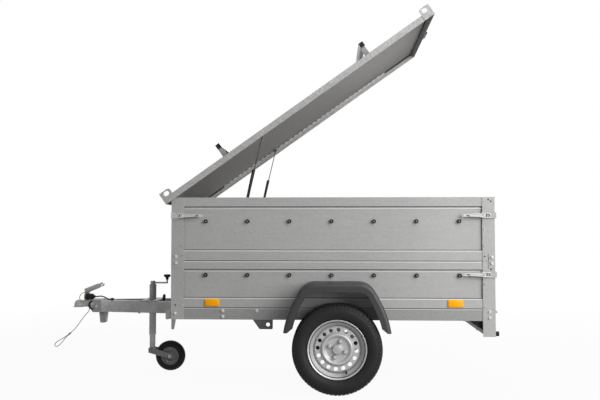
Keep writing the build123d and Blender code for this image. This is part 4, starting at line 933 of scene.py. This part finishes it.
# Bolts on the drawbar's nose: distance behind the coupling's tip, height
NOSE_BOLTS = ((0.146, 0.468), (0.182, 0.452))
# How far the boards' fields lie behind their bands
FIELD_SINK = 0.008


def from_end(end, distance):
    return X_FRONT + distance if end == "front" else X_REAR - distance


def bolt(shape, place, normal, roll=0.3):
    at = facing(place, normal, roll)
    shape.add(lathe(BOLT_WASHER, 20), at)
    shape.add(lathe(BOLT_HEAD, HEXAGON), at)


NOSE_HIGH = high("nose_bracket")
RAILS_LOW, RAILS_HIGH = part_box("drawbar_rails")
RAIL_NOSE_HALF = 0.045
RAIL_SLOPE = (RAILS_HIGH.y - RAIL_NOSE_HALF) / (RAILS_HIGH.x - RAILS_LOW.x)


def make_body_fasteners():
    rivets, bolts, holes = Shape(), Shape(), Shape()
    plates_low, plates_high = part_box("joint_plates")
    field_face = BOARD_FACE - FIELD_SINK
    for side in SIDES:
        out = (0, side, 0)
        for end, inset in POST_RIVET_INSET.items():
            for level in POST_RIVET_LEVELS:
                rivets.add(lathe(RIVET, 12), facing((from_end(end, inset), side * POST_FACE, level), out))
        for end, inset, level in POST_BOLTS:
            face = plates_high.y if plates_low.z < level < plates_high.z else POST_FACE
            bolt(bolts, (from_end(end, inset), side * face, level), out)
        for behind, level in SILL_BOLTS:
            bolt(bolts, (X_FRONT + behind, side * BOARD_FACE, level), out)
        for behind, level in STRUT_RIVETS:
            rivets.add(lathe(RIVET, 12), facing((X_FRONT + behind, side * field_face, level), out))
        for end, inset, level in POST_HOLES:
            holes.add(lathe(HOLE, 14), facing((from_end(end, inset), side * POST_FACE, level), out))
        for behind, level in NOSE_BOLTS:
            x = X_TIP + behind
            half_width = NOSE_HIGH.y - (NOSE_HIGH.x - x) * RAIL_SLOPE
            bolt(bolts, (x, side * half_width, level), (-RAIL_SLOPE, side, 0))
    rivets.piece("body_rivets", "chassis")
    bolts.piece("body_bolts", "bright_tab", slot="zinc_plated")
    # Black discs as painted shade in the posts' holes
    holes.piece("post_hole_shade", "black_paint")


# Latches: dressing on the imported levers

# End of the box, height
LATCHES = (("rear", 1.083), ("rear", 0.716), ("front", 1.083))
LATCH_ROOT = 0.058
# Places on a lever are (distance from its root, rise, outwards); a bar is its start, its stop and its radius
PRESSED_RIBS = (
    ((0.016, -0.0095, 0.0), (0.118, -0.0045, 0.0), 0.002),
    ((0.016, 0.0095, 0.0), (0.118, 0.0045, 0.0), 0.002),
)
# Dark bars along each lever's lower edge and at its tip: painted shade under the lever
SHADED_EDGES = (
    ((0.01, -0.0142, -0.0025), (0.108, -0.0088, -0.0025), 0.003),
    ((0.1, 0.0, -0.001), (0.115, -0.002, -0.001), 0.0042),
)
PIVOT_PLACE = (0.012, 0.0, 0.0)
PIVOT_RIVET = ((0, -0.001), (0.006, -0.001), (0.006, 0.0015), (0.0045, 0.0032), (0, 0.0038))
# The upper half of the wire bail that pulls the catch, up to its middle
BAIL_HALF = (
    (0.024, 0.0125, 0.0015), (0.0, 0.0125, 0.0022), (-0.022, 0.0125, -0.001),
    (-0.028, 0.0075, -0.002), (-0.028, 0.0, -0.002),
)
BAIL_PATH = BAIL_HALF + tuple((along, -rise, out) for along, rise, out in BAIL_HALF[-2::-1])
BAIL_RADIUS = 0.0026


def on_lever(end, side, level, place):
    along, rise, out = place
    return Vector((from_end(end, LATCH_ROOT + along), side * (high("latches").y + out), level + rise))


def make_latch_details():
    wires, edges = Shape(), Shape()
    for end, level in LATCHES:
        for side in SIDES:
            lever = (end, side, level)
            for shape, bars in ((wires, PRESSED_RIBS), (edges, SHADED_EDGES)):
                for start, stop, radius in bars:
                    shape.add(bar(on_lever(*lever, start), on_lever(*lever, stop), radius))
            wires.add(lathe(PIVOT_RIVET, 16), facing(on_lever(*lever, PIVOT_PLACE), (0, side, 0)))
            path = [on_lever(*lever, place) for place in BAIL_PATH]
            wires.add(sweep(path, WIRE_SIDES, lambda turn, travelled: BAIL_RADIUS))
    wires.piece("latch_bails", "bright_zinc", slot="zinc_plated")
    # The dark bars are painted shade
    edges.piece("latch_shade_edges", "dark_zinc", slot="zinc_plated")


# Lid underside

LID_CLINCH_PITCH = 0.045
LID_CLINCH = (0.024, 0.026, 0.004)
CLINCH_ROUND = 0.0012
CLINCH_END_GAP = 0.02
SKIRT_SHEET = 0.003
FOLD_SIZE = 0.004
HEM_HEIGHT = 0.009
HEM_SHEET = 0.0022
HEM_ROUND = 0.0009
# Black rubber strips along the lid's edges near its ends, painted shade in the gaps between skin and skirts; the
# side ones hang in the gap beside the posts
SHADE_STRIP_SIZE = 0.009
SIDE_SHADE_STRIP_WIDTH = 0.005
END_SHADE_STRIP_HEIGHT = 0.003
SHADE_STRIP_LENGTH = 0.25
SHADE_STRIP_END_GAP = 0.012
SHADE_STRIP_ROUND = 0.001
SKIN_LOW, SKIN_HIGH = shut_box("lid_skin")
LID_FRAME_LOW, LID_FRAME_HIGH = shut_box("lid_frame")
SKIRT_INNER = LID_FRAME_HIGH.y - SKIRT_SHEET


def add_to_lid(shape, size, rounding, place):
    """Adds a strip whose place is given with the lid shut."""
    shape.add(slab(size, rounding), LID_OPEN @ moved(place))


# Painted shade: black strips where the lid's skin meets its skirts
def make_lid_shade_strips():
    shade_strips = Shape()
    for end_x, inward in ((SKIN_LOW.x, 1), (SKIN_HIGH.x, -1)):
        along = end_x + inward * (SHADE_STRIP_END_GAP + SHADE_STRIP_LENGTH / 2)
        for side in SIDES:
            place = (along, side * (SKIRT_INNER - SIDE_SHADE_STRIP_WIDTH / 2), SKIN_LOW.z - SHADE_STRIP_SIZE / 2)
            add_to_lid(shade_strips, (SHADE_STRIP_LENGTH, SIDE_SHADE_STRIP_WIDTH, SHADE_STRIP_SIZE), SHADE_STRIP_ROUND, place)
        place = (end_x + inward * SHADE_STRIP_END_GAP, 0, SKIN_LOW.z - END_SHADE_STRIP_HEIGHT / 2)
        add_to_lid(shade_strips, (SHADE_STRIP_SIZE, 2 * (SKIRT_INNER - SHADE_STRIP_SIZE), END_SHADE_STRIP_HEIGHT), SHADE_STRIP_ROUND, place)
    shade_strips.piece("lid_shade_strips", "black_rubber", "lid")


def make_lid_folds():
    """The skirt's clinched fold under the skin, and the hem along its lower edge."""
    clinches, hems = Shape(), Shape()
    start = SKIN_LOW.x + SHADE_STRIP_END_GAP + SHADE_STRIP_LENGTH + CLINCH_END_GAP
    end = SKIN_HIGH.x - SHADE_STRIP_END_GAP - SHADE_STRIP_LENGTH - CLINCH_END_GAP
    count = round((end - start) / LID_CLINCH_PITCH)
    middle, length = (start + end) / 2, end - start
    width, height = LID_CLINCH[1:]
    for side in SIDES:
        for index in range(count + 1):
            along = start + length * index / count
            place = (along, side * (SKIRT_INNER - width / 2), SKIN_LOW.z - height / 2)
            add_to_lid(clinches, LID_CLINCH, CLINCH_ROUND, place)
        place = (middle, side * (SKIRT_INNER - HEM_SHEET / 2), LID_FRAME_LOW.z + HEM_HEIGHT / 2)
        add_to_lid(hems, (length, HEM_SHEET, HEM_HEIGHT), HEM_ROUND, place)
        place = (middle, side * (SKIRT_INNER - FOLD_SIZE / 2), SKIN_LOW.z - height - FOLD_SIZE / 2)
        add_to_lid(clinches, (length, FOLD_SIZE, FOLD_SIZE), CLINCH_ROUND, place)
    # The clinches and the fold take bright_tab, a lighter copy of the galvanised sheet: a painted highlight along
    # the fold
    clinches.piece("lid_clinches", "bright_tab", "lid", "galvanised")
    hems.piece("lid_hems", "spangled", "lid", "galvanised")


# Rear lamps and reflectors

LAMP_LENGTH = 0.22
LAMP_INSET = 0.052
LAMP_HEIGHT = 0.088
LAMP_BASE_DEPTH = 0.03
LAMP_ROUND = 0.006
LENS_DEPTH = 0.012
LENS_ROUND = 0.003
LENS_SINK = 0.004
LENS_MARGIN = 0.004
LENS_GAP = 0.002
LENS_HEIGHT = 0.078
# Lens colour and its share of the lamp's length, from the outside in
LAMP_LENSES = (("amber_lens", 0.27), ("red_lens", 0.5), ("clear_lens", 0.23))
TRIANGLE_SIDE = 0.104
TRIANGLE_GAP = 0.008
TRIANGLE_EDGE = 0.0012
# Steps of a triangle: share of its side, depth
TRIANGLE_STEPS = ((1.0, 0.0049), (0.8, 0.007))
# How far a triangle's centre lies below the lamp's middle, as a share of its side
TRIANGLE_DROP = 0.072


def make_rear_lights():
    corner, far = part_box("rear_lights")
    level = (corner.z + far.z) / 2
    housing, triangles = Shape(), Shape()
    lenses = {colour: Shape() for colour, _ in LAMP_LENSES}
    outer = BOARD_FACE - LAMP_INSET
    lens_x = corner.x + LAMP_BASE_DEPTH - LENS_SINK + LENS_DEPTH / 2
    middle = outer - LAMP_LENGTH - TRIANGLE_GAP - TRIANGLE_SIDE / 2
    for side in SIDES:
        centre = (corner.x + LAMP_BASE_DEPTH / 2, side * (outer - LAMP_LENGTH / 2), level)
        housing.add(slab((LAMP_BASE_DEPTH, LAMP_LENGTH, LAMP_HEIGHT), LAMP_ROUND, 3), moved(centre))
        start = outer - LENS_MARGIN
        for colour, share in LAMP_LENSES:
            length = share * (LAMP_LENGTH - 2 * LENS_MARGIN)
            place = (lens_x, side * (start - length / 2), level)
            size = (LENS_DEPTH, length - LENS_GAP, LENS_HEIGHT)
            lenses[colour].add(slab(size, LENS_ROUND, 3), moved(place))
            start -= length
        for share, depth in TRIANGLE_STEPS:
            radius = share * TRIANGLE_SIDE / math.sqrt(3)
            points = arc((0, 0), radius, math.pi / 2, 5 * math.pi / 2, 3)[:-1]
            place = (corner.x + depth / 2, side * middle, level - TRIANGLE_SIDE * TRIANGLE_DROP)
            triangles.add(cut_plate(points, (), depth, TRIANGLE_EDGE), facing(place, (1, 0, 0), math.pi / 2))
    housing.piece("lamp_housings", "black_plastic", replaces=["rear_lights"])
    for colour, shape in lenses.items():
        slot = "red_lens" if colour == "clear_lens" else colour
        shape.piece(f"lamp_{colour}", colour, slot=slot)
    triangles.piece("rear_triangles", "red_lens")


# Jockey wheel hub and plug dressing

JOCKEY_NUT = (
    (0.0, -0.001), (0.0125, -0.001), (0.0125, 0.002), (0.0095, 0.0025), (0.0095, 0.01), (0.007, 0.0115),
    (0, 0.0115),
)
JOCKEY_BOLT = ((0, -0.001), (0.0052, -0.001), (0.0052, 0.0035), (0.0035, 0.005), (0, 0.005))
JOCKEY_BOLT_CIRCLE = 0.046
JOCKEY_BOLTS = 5
JOCKEY_BOLT_TURN = 0.4
JOCKEY_NUT_TURN = 0.2
JOCKEY_DISC_FACE = 0.0075


def make_jockey_details():
    centre = Vector(joints["jockey_spin"]["pos_m"])
    fork_face = high("jockey_fork").y
    bolts, nuts = Shape(), Shape()
    for side in SIDES:
        out = (0, side, 0)
        for turn in even_turns(JOCKEY_BOLTS, JOCKEY_BOLT_TURN):
            place = centre + JOCKEY_BOLT_CIRCLE * Vector((math.cos(turn), 0, math.sin(turn)))
            bolts.add(lathe(JOCKEY_BOLT, HEXAGON), facing((place.x, side * JOCKEY_DISC_FACE, place.z), out))
        at = facing((centre.x, side * fork_face, centre.z), out, JOCKEY_NUT_TURN)
        nuts.add(lathe(JOCKEY_NUT, HEXAGON), at)
    bolts.piece("jockey_rim_bolts", "zinc_plated", "jockey_wheel")
    nuts.piece("jockey_axle_nuts", "zinc_plated", "jockey_caster")


PLUG_SEAL = ((0.0, 0.0), (0.021, 0.0), (0.0234, 0.002), (0.0234, 0.009), (0.0215, 0.0105))
PLUG_SEAL_AHEAD = 0.001
PLUG_RIBS = 14
PLUG_RIB = (0.03, 0.0028, 0.0022)
PLUG_RIB_ROUND = 0.0008
PLUG_RIB_BEHIND = 0.04
PLUG_RIB_CIRCLE = 0.0202


def make_plug_details():
    _, y, z = LEAD_ROUTE[-1]
    cap_front = low("lead_fittings").x
    seal, ribs = Shape(), Shape()
    seal.add(lathe(PLUG_SEAL, 28), facing((cap_front - PLUG_SEAL_AHEAD, y, z), (1, 0, 0)))
    for turn in even_turns(PLUG_RIBS):
        across, upward = PLUG_RIB_CIRCLE * math.cos(turn), PLUG_RIB_CIRCLE * math.sin(turn)
        place = moved((cap_front + PLUG_RIB_BEHIND, y + across, z + upward))
        ribs.add(slab(PLUG_RIB, PLUG_RIB_ROUND), place @ Matrix.Rotation(turn - math.pi / 2, 4, "X"))
    seal.piece("plug_seal", "yellow_green", slot="black_plastic")
    ribs.piece("plug_ribs", "black_plastic")


# Small covers and bolts; the black plates on the gussets are painted shade

GUSSET_LENGTH = 0.11
GUSSET_HEIGHT = 0.074
GUSSET_SETBACK = 0.053
GUSSET_INSET = 0.037
GUSSET_SHEET = 0.003
GUSSET_EDGE = 0.0008
# The handle's ends: distance behind the coupling's tip, height
HANDLE_ENDS = ((0.083, 0.556), (0.204, 0.604))
HANDLE_SHELL = (0.112, 0.028, 0.033)
HANDLE_SHELL_ROUND = 0.006
HANDLE_SHELL_PLACE = 0.42
# The clamp lever's knob and the rails' bolts, placed from the jockey leg
LEVER_BEHIND = 0.08
LEVER_TILT = 0.12
LEVER_KNOB_LEVEL = 0.5115
LEVER_KNOB = (
    (0, -0.0255), (0.006, -0.0235), (0.0098, -0.015), (0.0112, -0.002), (0.0105, 0.011), (0.0075, 0.021),
    (0.0035, 0.0248), (0, 0.0255),
)
RAIL_BOLT_BEHIND = -0.074
RAIL_BOLT_OUT = 0.088
JOCKEY_X = joints["jockey_swivel"]["pos_m"][0]


# Black plates over the rear gussets' outer faces: painted shade, where the gussets lie in shade under the box
def make_gusset_shade_plates():
    panels = Shape()
    triangle = ((0, 0), (-GUSSET_LENGTH, 0), (0, -GUSSET_HEIGHT))
    plate = cut_plate(triangle, (), GUSSET_SHEET, GUSSET_EDGE)
    for side in SIDES:
        y = side * (BOARD_FACE - GUSSET_INSET + GUSSET_SHEET / 2)
        panels.add(plate, moved((X_REAR - GUSSET_SETBACK, y, SILL_BOTTOM)) @ outward_axes(-1))
    panels.piece("gusset_shade_plates", "black_plastic")


def make_handle_shell():
    foot, tip = (Vector((X_TIP + behind, 0, z)) for behind, z in HANDLE_ENDS)
    tilt = math.atan2(tip.z - foot.z, tip.x - foot.x)
    place = moved(foot.lerp(tip, HANDLE_SHELL_PLACE)) @ Matrix.Rotation(-tilt, 4, "Y")
    Shape().add(slab(HANDLE_SHELL, HANDLE_SHELL_ROUND, 3), place).piece(
        "handle_shell", "cast_zinc", slot="zinc_plated"
    )


def make_lever_knob():
    place = moved((JOCKEY_X + LEVER_BEHIND, 0, LEVER_KNOB_LEVEL)) @ Matrix.Rotation(LEVER_TILT, 4, "Y")
    Shape().add(lathe(LEVER_KNOB, 24), place).piece("clamp_lever_knob", "black_plastic")


def make_rail_bolts():
    studs = Shape()
    for side in SIDES:
        bolt(studs, (JOCKEY_X + RAIL_BOLT_BEHIND, side * RAIL_BOLT_OUT, RAILS_LOW.z), (0, 0, -1))
    studs.piece("rail_bolts", "zinc_plated")


# Struts: a coated sleeve over each packed tube

SLEEVE_RADIUS = 0.0092
SLEEVE_BORE = 0.0076
SLEEVE_LIP = 0.0006
SLEEVE_TAPER = 0.006
SLEEVE_ENDS = (0.03, 0.99)
# The part of a slender node's points that makes up one end, and the least number of them
END_PART = 12
END_LEAST = 4


def long_axis(node):
    """The ends of a slender node, lower end first, at the middle of its section."""
    points = sorted((vertex.co for vertex in nodes[node].data.vertices), key=lambda p: p.z)
    share = max(END_LEAST, len(points) // END_PART)
    return [sum(group, Vector()) / len(group) for group in (points[:share], points[-share:])]


def make_strut_sleeves():
    for name in SIDES.values():
        foot, head = long_axis(f"strut_tube_{name}")
        start, stop = (foot.lerp(head, share) for share in SLEEVE_ENDS)
        length = (stop - start).length
        lip = SLEEVE_BORE + SLEEVE_LIP
        profile = (
            (SLEEVE_BORE, 0), (lip, 0), (SLEEVE_RADIUS, SLEEVE_TAPER), (SLEEVE_RADIUS, length - SLEEVE_TAPER),
            (lip, length), (SLEEVE_BORE, length), (SLEEVE_BORE, 0),
        )
        Shape().add(lathe(profile, 24), facing(start, stop - start)).piece(
            f"strut_sleeve_{name}", "black_paint", f"strut_cylinder_{name}"
        )


make_camera()
make_world()
make_floor()
make_lamps()
dress_nodes()
make_cable()
make_lead()
make_wheels()
make_buttons()
make_side_reflectors()
make_body_fasteners()
make_latch_details()
make_lid_shade_strips()
make_lid_folds()
make_rear_lights()
make_jockey_details()
make_plug_details()
make_gusset_shade_plates()
make_handle_shell()
make_lever_knob()
make_rail_bolts()
make_strut_sleeves()

bpy.context.scene.view_settings.view_transform = "Standard"
